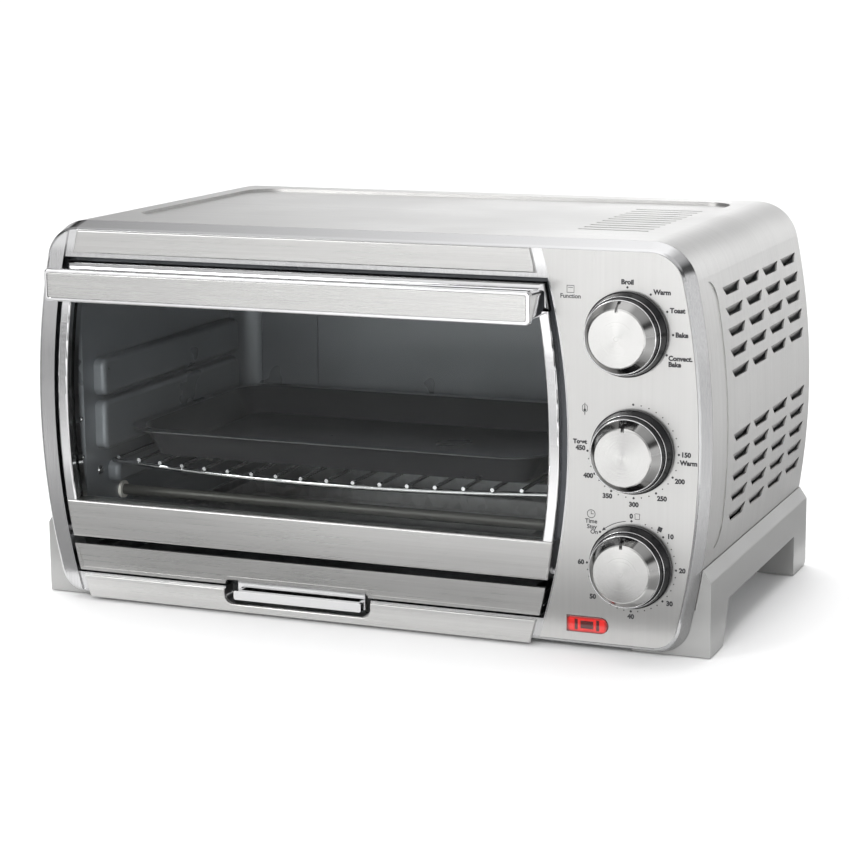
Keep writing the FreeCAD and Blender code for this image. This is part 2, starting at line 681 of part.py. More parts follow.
def handle_frame():
    """Bar handle: a chromed front rail with a shallow pocket and a post at each end."""
    x0, x1 = DOOR_X - HANDLE_HALF, DOOR_X + HANDLE_HALF
    front, back = -HANDLE_REACH, -HANDLE_REACH + HANDLE_THICK
    rail = rounded_panel(x0, x1, HANDLE_BOTTOM, HANDLE_TOP, 3.0, front, back)
    rail = round_edges(rail, 1.2, lambda edge: lies_at("y", front)(edge) or lies_at("y", back)(edge))
    pocket = rounded_panel(x0 + HANDLE_RIM, x1 - HANDLE_RIM, HANDLE_BOTTOM + HANDLE_RIM, HANDLE_TOP - HANDLE_RIM,
                           2.0, front - 1, front + 1.2)
    posts = []
    for side in (-1, 1):
        outer = DOOR_X + side * HANDLE_HALF
        inner = outer - side * HANDLE_POST
        post = box(min(outer, inner), max(outer, inner), back - 1, -PLATE_PROUD, HANDLE_BOTTOM + 3, HANDLE_TOP - 3)
        posts.append(round_edges(post, 2.0, runs_along("y", -PLATE_PROUD - back + 1)))
    screws = [rod(V(x, back + 2, z), V(x, 30, z), HANDLE_SCREW_R) for x, z in handle_screw_places()]
    return cut_all(join([rail] + posts), [pocket] + screws)


def handle_insert():
    x0, x1 = DOOR_X - HANDLE_HALF, DOOR_X + HANDLE_HALF
    side = HANDLE_RIM + 0.3
    front = -HANDLE_REACH + 0.1
    plate = rounded_panel(x0 + side, x1 - side, HANDLE_BOTTOM + side, HANDLE_TOP - side, 1.7, front, front + 1.1)
    return round_edges(plate, 0.5, lies_at("y", front))


def handle_screws():
    start = -HANDLE_REACH + HANDLE_THICK + 2
    screws = []
    for x, z in handle_screw_places():
        shank = rod(V(x, start, z), V(x, DOOR_THICK + 0.5, z), HANDLE_SCREW_R)
        head = rod(V(x, DOOR_THICK, z), V(x, DOOR_THICK + 1.8, z), 3.6)
        screws.append(join([shank, head]))
    return screws


# ---------------------------------------------------------------- crumb tray

def tray_front():
    front = door_slab(0, TRAY_FRONT_BOTTOM, TRAY_FRONT_TOP, -PLATE_PROUD, 2.2, TRAY_FRONT_HALF)
    mouth = rounded_panel(NOTCH_LEFT + 1, NOTCH_RIGHT - 1, TRAY_FRONT_BOTTOM - 20, NOTCH_TOP, 3.2, -5, 10)
    front = front.cut(mouth)
    border = 2.2
    inset = door_slab(border, TRAY_FRONT_BOTTOM + border, TRAY_FRONT_TOP - border, -5, -PLATE_PROUD + 0.7,
                      TRAY_FRONT_HALF)
    keep = rounded_panel(NOTCH_LEFT + 1 - border, NOTCH_RIGHT - 1 + border, TRAY_FRONT_BOTTOM - 20,
                         NOTCH_TOP + border, 4.5, -5, 10)
    return front.cut(inset.cut(keep))


def tray_grip():
    """Finger bar of the tray, held by a web behind the notch."""
    x0, x1 = NOTCH_LEFT + 7, NOTCH_RIGHT - 7
    bar = rounded_panel(x0, x1, GRIP_BOTTOM, GRIP_TOP, 1.4, -0.2, 3.4)
    web = box(x0, x1, 7.5, 9.0, GRIP_BOTTOM, TRAY_FRONT_BOTTOM + 6)
    shelf = box(x0, x1, 2.2, 9.0, TRAY_FRONT_BOTTOM + 6, TRAY_FRONT_BOTTOM + 7.5)
    ends = [box(x, x + 3, 1, 9.0, GRIP_BOTTOM + 0.5, GRIP_TOP - 0.5) for x in (x0 + 0.5, x1 - 3.5)]
    return join([bar, web, shelf] + ends)


def crumb_tray():
    """Shallow pan behind the tray front."""
    x0, x1 = DOOR_X - TRAY_HALF, DOOR_X + TRAY_HALF
    t = 0.9
    pan = box(x0, x1, 2.2, TRAY_REAR, TRAY_FLOOR, TRAY_FLOOR + TRAY_WALL)
    hollow = box(x0 + t, x1 - t, 2.2 + t, TRAY_REAR - t, TRAY_FLOOR + t, TRAY_FLOOR + TRAY_WALL + 5)
    mouth = box(NOTCH_LEFT - 4, NOTCH_RIGHT + 4, 0, 10.5, TRAY_FLOOR - 5, TRAY_FLOOR + TRAY_WALL + 5)
    wall = box(NOTCH_LEFT - 4, NOTCH_RIGHT + 4, 10.5, 10.5 + t, TRAY_FLOOR, TRAY_FLOOR + TRAY_WALL)
    ends = [box(x, x + t, 2.2, 10.5 + t, TRAY_FLOOR, TRAY_FLOOR + TRAY_WALL)
            for x in (NOTCH_LEFT - 4 - t, NOTCH_RIGHT + 4)]
    return join([pan.cut(hollow).cut(mouth), wall] + ends)


def tray_runners():
    """Two angle rails in the well under the tray's edges."""
    rails = []
    top = TRAY_FLOOR - 0.3
    for side in (-1, 1):
        outer = DOOR_X + side * (TRAY_HALF + 6)
        inner = DOOR_X + side * (TRAY_HALF - 8)
        x0, x1 = min(outer, inner), max(outer, inner)
        shelf = box(x0, x1, BEZEL_BACK + 4, TRAY_REAR, top - 1.2, top)
        web_x = DOOR_X + side * (TRAY_HALF - 2)
        web = box(web_x - 0.6, web_x + 0.6, BEZEL_BACK + 4, TRAY_REAR, WELL_LEVEL + SHEET, top)
        fence_x = DOOR_X + side * (TRAY_HALF + 4)
        fence = box(fence_x - 0.6, fence_x + 0.6, BEZEL_BACK + 4, TRAY_REAR, top - 0.6, top + 7)
        rails.append(join([shelf, web, fence]))
    return rails


# ---------------------------------------------------------------- cavity

def bulge(y0, y1, z0, z1, shrink):
    """Rounded boss pressed into the left wall towards the cavity."""
    height = BULGE - shrink
    shape = box(WALL_X - 3, WALL_X + height, y0 + shrink, y1 - shrink, z0 + shrink, z1 - shrink)
    shape = round_edges(shape, 6.0, runs_along("x", height + 3))
    return round_edges(shape, 3.5, lies_at("x", WALL_X + height))


BULGE_END = CAVITY_BACK - CAVITY_CORNER
BULGES = ((34.0, BULGE_END, 144.0, 171.0), (34.0, BULGE_END, 104.0, 140.0),
          (50.0, BULGE_END, SHELF_LEVEL - 16.0, SHELF_LEVEL))


def side_wall():
    """Left cavity wall with its pressed shelf supports."""
    t = LINER
    sheet = box(WALL_X - t, WALL_X, BEZEL_BACK + 2.0, CAVITY_BACK, CAVITY_FLOOR - t, CAVITY_ROOF + t)
    outer = [bulge(*place, 0) for place in BULGES]
    wall = sheet.multiFuse(outer).common(box(WALL_X - t, WALL_X + 30, 0, 300, 0, 300))
    wall = cut_all(wall, [bulge(*place, t) for place in BULGES])
    return cut_all(wall, [rod(V(WALL_X - 5, y, z), V(WALL_X + 5, y, z), HEATER_R + 2.5)
                          for y in HEATER_DEPTHS for z in (UPPER_HEATER, LOWER_HEATER)])


def right_wall():
    """Mirror of the left wall, with the round fan opening."""
    wall = mirror_x(side_wall(), DOOR_X)
    x = DOOR_X + CAVITY_HALF
    return wall.cut(rod(V(x - 20, FAN_DEPTH, FAN_LEVEL), V(x + 20, FAN_DEPTH, FAN_LEVEL), FAN_OPENING_R))


def cavity_plate(y0, y1, z0, z1):
    return box(WALL_X, DOOR_X + CAVITY_HALF, y0, y1, z0, z1)


def cavity_roof():
    plate = cavity_plate(BEZEL_BACK + 1, CAVITY_BACK, CAVITY_ROOF, CAVITY_ROOF + LINER)
    ribs = [box(DOOR_X - 130, DOOR_X + 130, y, y + 8, CAVITY_ROOF - 1.5, CAVITY_ROOF + 0.5) for y in (100, 140, 180)]
    return join([plate] + ribs)


def cavity_floor():
    """Floor sheet with the large opening that lets crumbs fall on the tray."""
    plate = cavity_plate(BEZEL_BACK + 1, CAVITY_BACK, CAVITY_FLOOR - LINER, CAVITY_FLOOR)
    return plate.cut(box(DOOR_X - 140, DOOR_X + 140, 50, 240, 0, 100))


def cavity_back():
    plate = box(WALL_X - LINER, DOOR_X + CAVITY_HALF + LINER, CAVITY_BACK, CAVITY_BACK + LINER,
                CAVITY_FLOOR - LINER, CAVITY_ROOF + LINER)
    rise = 3.0

    def boss(shrink):
        half = 110 - shrink
        block = rounded_panel(DOOR_X - half, DOOR_X + half, CAVITY_FLOOR + 45 + shrink, CAVITY_ROOF - 45 - shrink,
                              12 - shrink, CAVITY_BACK - rise + shrink, CAVITY_BACK + 2 * LINER)
        return round_edges(block, 1.8, lies_at("y", CAVITY_BACK - rise + shrink))
    raised = boss(0).common(box(-HALF, HALF, 0, CAVITY_BACK + LINER, 0, BODY_HEIGHT))
    middle = V(WALL_X + CAVITY_CORNER, CAVITY_BACK - CAVITY_CORNER, CAVITY_FLOOR)
    sleeve = rod(middle, middle + V(0, 0, CAVITY_ROOF - CAVITY_FLOOR), CAVITY_CORNER)
    sleeve = sleeve.cut(rod(middle, middle + V(0, 0, CAVITY_ROOF - CAVITY_FLOOR), CAVITY_CORNER - LINER))
    corner = sleeve.common(box(WALL_X, middle.x, middle.y, CAVITY_BACK, 0, BODY_HEIGHT))
    return [join([plate, raised]).cut(boss(LINER)), corner, mirror_x(corner, DOOR_X)]


def cavity_flange():
    """Frame that closes the gap between the bezel and the mouth of the cavity."""
    y0, y1 = BEZEL_BACK, BEZEL_BACK + 1.0
    overlap = 2.0
    frame = right_of_strip(STRIP_WIDTH - HALF - 6, y0, y1).common(left_of_panel(PANEL_LEFT + 4, y0, y1))
    frame = frame.common(box(-HALF, HALF, y0, y1, DOOR_BOTTOM - 3, TOP_RAIL_BOTTOM + 4))
    mouth = rounded_panel(DOOR_X - FLANGE_HALF, DOOR_X + FLANGE_HALF, CAVITY_FLOOR, CAVITY_ROOF, 4, 0, 40)
    returns = []
    for side in (-1, 1):
        inner, outer = DOOR_X + side * CAVITY_HALF, DOOR_X + side * (FLANGE_HALF + overlap)
        returns.append(box(min(inner, outer), max(inner, outer), y1, y1 + 1.0, CAVITY_FLOOR, CAVITY_ROOF))
    return join([frame.cut(mouth)] + returns)


def flange_rivets():
    """Rivets up the flange, and a screw head low on each cavity wall near the front."""
    rivets = []
    for side in (-1, 1):
        x = DOOR_X + side * (FLANGE_HALF + 3.4)
        for z in (205.0, 129.0, 101.0):
            ball = Part.makeSphere(2.6, V(x, BEZEL_BACK + 1.2, z))
            dome = ball.common(box(x - 5, x + 5, 0, BEZEL_BACK, z - 5, z + 5))
            rivets.append(dome)
        wall = DOOR_X + side * CAVITY_HALF
        head = Part.makeSphere(4.0, V(wall + side * 1.5, 39, 88))
        rivets.append(head.common(box(*sorted((wall, wall - side * 5)), 30, 50, 80, 96)))
    return rivets


def heaters(level):
    """Two sheathed rods across the cavity with terminals beyond the walls."""
    rods = []
    for y in HEATER_DEPTHS:
        x0, x1 = WALL_X - 8, DOOR_X + CAVITY_HALF + 8
        sheath = rod(V(x0, y, level), V(x1, y, level), HEATER_R)
        tips = [rod(V(x0 - 6, y, level), V(x0, y, level), 1.6), rod(V(x1, y, level), V(x1 + 6, y, level), 1.6)]
        rods.append(join([sheath] + tips))
    return rods


def heater_insulators():
    rings = []
    for side in (-1, 1):
        x = DOOR_X + side * CAVITY_HALF
        for y in HEATER_DEPTHS:
            for z in (UPPER_HEATER, LOWER_HEATER):
                neck = rod(V(x - side * 2, y, z), V(x + side * 3, y, z), HEATER_R + 2.5)
                head = rod(V(x + side * LINER, y, z), V(x + side * 7, y, z), HEATER_R + 5)
                rings.append(join([neck, head]).cut(rod(V(x - 20, y, z), V(x + 20, y, z), HEATER_R)))
    return rings


def thermostat_bulb():
    """Sensing bulb clipped along the right wall above the upper shelf."""
    x = DOOR_X + CAVITY_HALF - 4
    bulb = rod(V(x, 60, 214), V(x, 200, 214), 2.6)
    clips = [box(x - 1.5, DOOR_X + CAVITY_HALF, y, y + 4, 216, 218.5) for y in (80, 176)]
    return join([bulb] + clips)


def fan_axis(x):
    return V(x, FAN_DEPTH, FAN_LEVEL)


def fan_impeller():
    """Radial fan: hub, back disc and straight blades."""
    x = DOOR_X + CAVITY_HALF
    hub = rod(fan_axis(x - 6), fan_axis(x + 8), 7)
    disc = rod(fan_axis(x + 6), fan_axis(x + 7), FAN_R)
    pieces = [hub, disc]
    for number in range(10):
        blade = box(x - 5, x + 6.5, FAN_DEPTH - 0.6, FAN_DEPTH + 0.6, FAN_LEVEL + 5, FAN_LEVEL + FAN_R)
        blade.rotate(fan_axis(x), V(1, 0, 0), 36 * number)
        pieces.append(blade)
    return join(pieces).cut(rod(fan_axis(x - 20), fan_axis(x + 20), 2.5))


def fan_shaft():
    x = DOOR_X + CAVITY_HALF
    return rod(fan_axis(x - 5.5), fan_axis(x + 40), 2.5)


def fan_guard():
    """Perforated disc over the fan, fixed to the faces of the wall's bosses."""
    x = DOOR_X + CAVITY_HALF - BULGE
    disc = rod(fan_axis(x - 1), fan_axis(x), FAN_OPENING_R + 4)
    disc = round_edges(disc, 0.6, lambda e: lies_at("x", x - 1)(e))
    holes = []
    for count, radius in ((6, 10.0), (12, 20.0), (18, 30.0)):
        for number in range(count):
            angle = 2 * math.pi * number / count
            y, z = FAN_DEPTH + radius * math.cos(angle), FAN_LEVEL + radius * math.sin(angle)
            holes.append(rod(V(x - 5, y, z), V(x + 5, y, z), 3.2))
    return cut_all(disc, holes)


def fan_motor():
    """Shaded-pole motor on two posts behind the right wall."""
    x = DOOR_X + CAVITY_HALF + LINER
    plate = rod(fan_axis(x + 12), fan_axis(x + 14), 44)
    case = rod(fan_axis(x + 14), fan_axis(x + 42), 26)
    coil = box(x + 18, x + 38, FAN_DEPTH - 14, FAN_DEPTH + 14, FAN_LEVEL - 42, FAN_LEVEL - 20)
    posts = []
    for angle in (30, 150, 270):
        y = FAN_DEPTH + 50 * math.cos(math.radians(angle))
        z = FAN_LEVEL + 50 * math.sin(math.radians(angle))
        posts.append(rod(V(x, y, z), V(x + 14, y, z), 3))
        disc = rod(fan_axis(x + 12), fan_axis(x + 14), 54)
        arm = disc.common(box(x + 12, x + 14, y - 9, y + 9, z - 9, z + 9))
        posts.append(arm)
    motor = join([plate, case, coil] + posts)
    return motor.cut(rod(fan_axis(x - 5), fan_axis(x + 60), 2.5 + RUNNING))


def heat_shield():
    """Sheet between the cavity's right wall and the controls."""
    x = DOOR_X + CAVITY_HALF + LINER
    sheet = box(x + 6, x + 6.8, 24, 100, BASE_LEVEL + SHEET, CAVITY_ROOF)
    lips = [box(x, x + 6.8, 96, 97, z, z + 12) for z in (100, 200)]
    holes = [rod(V(x, y, z), V(x + 20, y, z), HEATER_R + 6)
             for y in HEATER_DEPTHS for z in (UPPER_HEATER, LOWER_HEATER)]
    return cut_all(join([sheet] + lips), holes)


# ---------------------------------------------------------------- rack and pan

def wire_rack():
    """Welded wire shelf: a frame loop whose front wire bows forward, with bars from front to rear."""
    x0, x1 = DOOR_X - RACK_HALF, DOOR_X + RACK_HALF
    z = SHELF_LEVEL + 0.3 + RACK_WIRE_R
    corner = 8.0
    r = RACK_WIRE_R
    ends = [V(x0, RACK_FRONT + RACK_BOW, z), V(x1, RACK_FRONT + RACK_BOW, z)]
    front = Part.Arc(ends[0], V(DOOR_X, RACK_FRONT, z), ends[1]).toShape()
    radius = front.Curve.Radius
    section = Part.Wire(Part.makeCircle(r, ends[0], front.tangentAt(front.FirstParameter)))
    loop = [Part.Wire(front).makePipeShell([section], True, True)]
    loop += [Part.makeSphere(r, end) for end in ends]
    loop.append(rod(V(x0 + corner, RACK_REAR, z), V(x1 - corner, RACK_REAR, z), r))
    for x, side in ((x0, -1), (x1, 1)):
        loop.append(rod(V(x, RACK_FRONT + RACK_BOW, z), V(x, RACK_REAR - corner, z), r))
        middle = V(x - side * corner, RACK_REAR - corner, z)
        ring = Part.makeTorus(corner, r, middle, V(0, 0, 1))
        xs = sorted((middle.x, middle.x + side * 20))
        loop.append(ring.common(box(*xs, middle.y, middle.y + 20, z - 5, z + 5)))
    bars = []
    level = z + r + RACK_BAR_R - 0.5
    count = int((2 * RACK_HALF - 8) / RACK_PITCH)
    first = DOOR_X - RACK_PITCH * count / 2
    for number in range(count + 1):
        x = first + number * RACK_PITCH
        start = RACK_FRONT + radius - math.sqrt(radius ** 2 - (x - DOOR_X) ** 2)
        bars.append(rod(V(x, start - 1.5, level), V(x, RACK_REAR + 1.5, level), RACK_BAR_R))
    return join(loop + bars)


def pan_block(grow, z0, z1, lean):
    """Solid with flared sides and rounded corners."""
    half, front, rear = PAN_HALF - 8 + grow, PAN_FRONT + 8 - grow, PAN_REAR - 8 + grow

    def ring(level, out):
        flat = Part.makePlane(2 * (half + out), rear - front + 2 * out,
                              V(DOOR_X - half - out, front - out, level))
        solid = flat.extrude(V(0, 0, 1))
        solid = round_edges(solid, 26 + out, runs_along("z", 1.0))
        face = [f for f in solid.Faces if abs(f.CenterOfMass.z - level) < 1e-3][0]
        return face.OuterWire
    return Part.makeLoft([ring(z0, -lean), ring(z1, 0)], True, True)


def baking_pan():
    """Enamelled pan with flared walls and a flat rolled rim."""
    level = SHELF_LEVEL + 0.3 + 2 * RACK_WIRE_R + 2 * RACK_BAR_R - 0.5
    top = level + PAN_DEPTH
    outer = pan_block(0, level, top, 12)
    inner = pan_block(-PAN_SHEET, level + PAN_SHEET, top + 0.01, 12)
    rim = box(DOOR_X - PAN_HALF, DOOR_X + PAN_HALF, PAN_FRONT, PAN_REAR, top - 1.6, top)
    rim = round_edges(rim, 34, runs_along("z", 1.6))
    rim = round_edges(rim, 0.7, lambda e: (lies_at("z", top)(e) or lies_at("z", top - 1.6)(e)))
    rim = rim.cut(pan_block(-PAN_SHEET, level + PAN_SHEET, top + 0.01, 12))
    return outer.cut(inner).fuse(rim)


# ---------------------------------------------------------------- feet

def foot():
    """Right-hand foot: a rail along the side and two hollow legs with toes under the body."""
    start, end = BEZEL_DEPTH + SEAM, BODY_DEPTH
    ledge_x = side_x(FOOT_LEDGE) + 0.6
    profile = [V(HALF - 16, start, FOOT_ARCH - 2.5), V(HALF, start, FOOT_ARCH - 2.5), V(HALF, start, FOOT_TOP),
               V(ledge_x, start, FOOT_LEDGE), V(HALF - 16, start, FOOT_LEDGE)]
    rail = prism(profile, V(0, end - start, 0))
    rail = round_edges(rail, 3.0, lambda e: runs_along("y", end - start)(e) and e.CenterOfMass.x > HALF - 1
                       and e.CenterOfMass.z > FOOT_ARCH + 2)
    rail = rail.cut(body_slab(-0.3, 0, end + 10, ROOF_CORNER, BASE_LEVEL - 1.2))
    rail = rail.cut(box(0, side_x(BASE_LEVEL) + 0.3, 0, end + 10, 0, FOOT_ARCH + 1.0 - 0.3))
    inner = HALF - LEG_INNER

    def leg(y0, y1, y1_top):
        outer = prism([V(inner, y0, PAD_HEIGHT), V(inner, y1, PAD_HEIGHT), V(inner, y1_top, FOOT_ARCH - 0.5),
                       V(inner, y0, FOOT_ARCH - 0.5)], V(LEG_INNER, 0, 0))
        w = FOOT_WALL
        hollow = box(inner + w, HALF - w, y0 + w, y1 - w, PAD_HEIGHT + w, FOOT_ARCH - w)
        return outer.cut(hollow)
    front_leg = leg(start, FRONT_LEG_END, ARCH_START)
    rear_leg = leg(REAR_LEG_START, end, end)
    toe_inner = HALF - TOE_INNER
    toe = box(toe_inner, inner + 1, start, start + 4, PAD_HEIGHT, 14)
    heel = box(toe_inner, inner + 1, REAR_LEG_START, REAR_LEG_START + 4, PAD_HEIGHT, 14)
    ribs = [box(inner, HALF - 2, y, y + 4, FOOT_ARCH - 3, FOOT_ARCH + 0.7)
            for y in (start + 8, REAR_LEG_START + 8)]
    whole = join([rail, front_leg, rear_leg, toe, heel] + ribs)
    return round_edges(whole, 5.0, lambda e: runs_along("x", LEG_INNER)(e) and e.CenterOfMass.z < 2)


def foot_pads():
    """Thin rubber pads under the four legs."""
    pads = []
    for y in (BEZEL_DEPTH + 17, REAR_LEG_START + 19):
        pad = rod(V(HALF - LEG_INNER / 2, y, 0), V(HALF - LEG_INNER / 2, y, PAD_HEIGHT), 7)
        pads += [pad, mirror_x(pad)]
    return pads


def housing_screws():
    """Rear cover screws, seated on the cover."""
    screws = []
    corners = [(side * (HALF - 25), level) for side in (-1, 1) for level in (120, 200)]
    corners += [(side * (HALF - 130), level) for side in (-1, 1) for level in (BODY_HEIGHT - 13, BASE_LEVEL + 10)]
    for x, z in corners:
        head = rod(V(x, BODY_DEPTH - 1, z), V(x, BODY_DEPTH + 1.2, z), 3.2)
        head = round_edges(head, 0.8, lies_at("y", BODY_DEPTH + 1.2))
        screws.append(head.cut(box(x - 0.5, x + 0.5, BODY_DEPTH + 0.4, BODY_DEPTH + 2, z - 2.2, z + 2.2)))
    return screws


# ---------------------------------------------------------------- output

save("outer_housing", outer_housing())
save("rear_panel", rear_panel())
save("cord_gland", cord_gland())
save("base_pan", base_pan())
save("housing_screws", *housing_screws())
save("foot_right", foot())
save("foot_left", mirror_x(foot()))
save("foot_pads", *foot_pads())

save("front_bezel", front_bezel())
save("hinge_bushes", *hinge_bushes())
save("top_rail_plate", top_rail_plate())
save("bottom_rail_plate", bottom_rail_plate())
save("control_panel", control_panel())
save("indicator_lens", indicator_lens())
save("indicator_lamp", indicator_lamp())

for knob, (knob_x, knob_z) in KNOBS.items():
    save(knob + "_knob_skirt", knob_skirt(knob_x, knob_z))
    save(knob + "_knob_cap", knob_cap(knob_x, knob_z))
    save(knob + "_knob_shaft", knob_shaft(knob_x, knob_z))

save("control_bracket", control_bracket())
save("function_switch", control_body(*KNOBS["function"], 22, 20, 56))
save("thermostat", control_body(*KNOBS["temperature"], 20, 18, 48))
save("timer_body", control_body(*KNOBS["timer"], 24, 21, 62))
save("timer_bell", timer_bell())
save("terminal_block", terminal_block())
save("heat_shield", heat_shield())

save("door_glass", glass_room(0))
save("door_bottom_bar", door_bottom_bar())
save("door_top_bar", door_top_bar())
save("door_side_rails", door_side_rails())
save("hinge_pins", *hinge_pins())
save("handle_frame", handle_frame())
save("handle_insert", handle_insert())
save("handle_screws", *handle_screws())

save("tray_front", tray_front())
save("tray_grip", tray_grip())
save("crumb_tray", crumb_tray())
save("tray_runners", *tray_runners())

save("cavity_left_wall", side_wall())
save("cavity_right_wall", right_wall())
save("cavity_roof", cavity_roof())
save("cavity_floor", cavity_floor())
save("cavity_back", *cavity_back())
save("cavity_flange", cavity_flange())
save("flange_rivets", *flange_rivets())
save("upper_heaters", *heaters(UPPER_HEATER))
save("lower_heaters", *heaters(LOWER_HEATER))
save("heater_insulators", *heater_insulators())
save("thermostat_bulb", thermostat_bulb())
save("fan_impeller", fan_impeller())
save("fan_shaft", fan_shaft())
save("fan_guard", fan_guard())
save("fan_motor", fan_motor())

save("wire_rack", wire_rack())
save("baking_pan", baking_pan())
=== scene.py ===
"""Looks of the toaster oven.

Finishes for every CAD node, the printing on the panel, bright rings on the knobs, light, floor and camera.
Lengths are metres in the row frame, except in the printing and the knob rings, which are in millimetres.
"""
import math

import bmesh
import bpy
from mathutils import Matrix, Vector


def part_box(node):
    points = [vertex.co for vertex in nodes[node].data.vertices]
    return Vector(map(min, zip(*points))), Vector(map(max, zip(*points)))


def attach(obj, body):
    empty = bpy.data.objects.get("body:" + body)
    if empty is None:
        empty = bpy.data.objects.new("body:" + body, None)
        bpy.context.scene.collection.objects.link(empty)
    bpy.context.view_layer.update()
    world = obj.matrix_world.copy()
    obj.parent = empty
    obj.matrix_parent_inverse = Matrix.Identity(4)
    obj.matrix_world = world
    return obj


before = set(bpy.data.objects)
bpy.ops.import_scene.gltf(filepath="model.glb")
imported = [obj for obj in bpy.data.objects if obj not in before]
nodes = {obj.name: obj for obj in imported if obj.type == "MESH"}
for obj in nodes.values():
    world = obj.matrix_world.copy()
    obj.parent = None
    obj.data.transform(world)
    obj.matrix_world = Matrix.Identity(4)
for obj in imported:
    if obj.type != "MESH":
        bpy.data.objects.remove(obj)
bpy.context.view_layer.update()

MM = 0.001
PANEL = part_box("control_panel")[0].y         # front face of the control panel
MIDDLE = {name: sum(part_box(name), Vector()) / 2 for name in nodes}


# ---------------------------------------------------------------- camera

CAMERA_AT = Vector((0.6508, -1.5713, 0.4551))
CAMERA_YAW = math.radians(22.45)             # turned from +Y towards -X
CAMERA_PITCH = math.radians(11.16)           # tipped down
CAMERA_ROLL = math.radians(-0.518)
CAMERA_LENS, SENSOR = 100.4, 36.0            # millimetres
CLIP = (0.05, 300)


def make_camera():
    """Camera at the photograph's viewing angle."""
    ahead = Vector((-math.sin(CAMERA_YAW) * math.cos(CAMERA_PITCH),
                    math.cos(CAMERA_YAW) * math.cos(CAMERA_PITCH), -math.sin(CAMERA_PITCH)))
    right = Vector((math.cos(CAMERA_YAW), math.sin(CAMERA_YAW), 0))
    up = right.cross(ahead)
    turned = right * math.cos(CAMERA_ROLL) + up * math.sin(CAMERA_ROLL)
    up = up * math.cos(CAMERA_ROLL) - right * math.sin(CAMERA_ROLL)
    data = bpy.data.cameras.new("camera")
    data.lens = CAMERA_LENS
    data.sensor_width = SENSOR
    data.clip_start, data.clip_end = CLIP
    camera = bpy.data.objects.new("camera", data)
    bpy.context.scene.collection.objects.link(camera)
    axes = Matrix((turned, up, -ahead)).transposed().to_4x4()
    camera.matrix_world = Matrix.Translation(CAMERA_AT) @ axes
    bpy.context.scene.camera = camera


make_camera()


# ---------------------------------------------------------------- material kit

RANGE_SOCKETS = ("From Min", "From Max", "To Min", "To Max")
USUAL = (0.3, 0.7)                           # what most of a noise's values lie between


class Wiring:
    """Short ways to add and join the nodes of one tree. Patterns are laid out in metres, in the row frame."""

    def __init__(self, tree, coordinates="Object"):
        self.tree = tree
        self.tree.nodes.clear()
        self.place = self.add("ShaderNodeTexCoord").outputs[coordinates]

    def add(self, kind):
        return self.tree.nodes.new(kind)

    def link(self, source, target):
        self.tree.links.new(source, target)

    def spread(self, scale, centre=(0, 0, 0)):
        """Object coordinates about a centre, stretched by scale."""
        shift = self.add("ShaderNodeVectorMath")
        shift.operation = "SUBTRACT"
        self.link(self.place, shift.inputs[0])
        shift.inputs[1].default_value = centre
        stretch = self.add("ShaderNodeVectorMath")
        stretch.operation = "MULTIPLY"
        self.link(shift.outputs[0], stretch.inputs[0])
        stretch.inputs[1].default_value = scale
        return stretch.outputs[0]

    def noise(self, vector, scale=1.0, detail=2.0, rough=0.5):
        node = self.add("ShaderNodeTexNoise")
        self.link(vector, node.inputs["Vector"])
        node.inputs["Scale"].default_value = scale
        node.inputs["Detail"].default_value = detail
        node.inputs["Roughness"].default_value = rough
        return node.outputs["Fac"]

    def cells(self, vector, scale, output="Distance"):
        node = self.add("ShaderNodeTexVoronoi")
        self.link(vector, node.inputs["Vector"])
        node.inputs["Scale"].default_value = scale
        return node.outputs[output]

    def remap(self, value, low, high, to_low, to_high, smooth=False):
        node = self.add("ShaderNodeMapRange")
        node.interpolation_type = "SMOOTHSTEP" if smooth else "LINEAR"
        self.link(value, node.inputs["Value"])
        for socket, number in zip(RANGE_SOCKETS, (low, high, to_low, to_high)):
            node.inputs[socket].default_value = number
        return node.outputs[0]

    def math(self, operation, a, b=None):
        node = self.add("ShaderNodeMath")
        node.operation = operation
        for slot, value in enumerate((a, b)):
            if value is None:
                continue
            if isinstance(value, (int, float)):
                node.inputs[slot].default_value = value
            else:
                self.link(value, node.inputs[slot])
        return node.outputs[0]

    def blend(self, share, first, second):
        """Colour between two, by share."""
        node = self.add("ShaderNodeMix")
        node.data_type = "RGBA"
        self.link(share, node.inputs["Factor"])
        colour_a, colour_b, result = node.inputs[6], node.inputs[7], node.outputs[2]
        for socket, value in ((colour_a, first), (colour_b, second)):
            if isinstance(value, tuple):
                socket.default_value = (*value, 1)
            else:
                self.link(value, socket)
        return result

    def axis(self, letter, vector=None):
        """One coordinate of a vector, or of the place on the object."""
        node = self.add("ShaderNodeSeparateXYZ")
        self.link(vector or self.place, node.inputs[0])
        return node.outputs["XYZ".index(letter.upper())]

    def length(self, vector):
        node = self.add("ShaderNodeVectorMath")
        node.operation = "LENGTH"
        self.link(vector, node.inputs[0])
        return node.outputs["Value"]


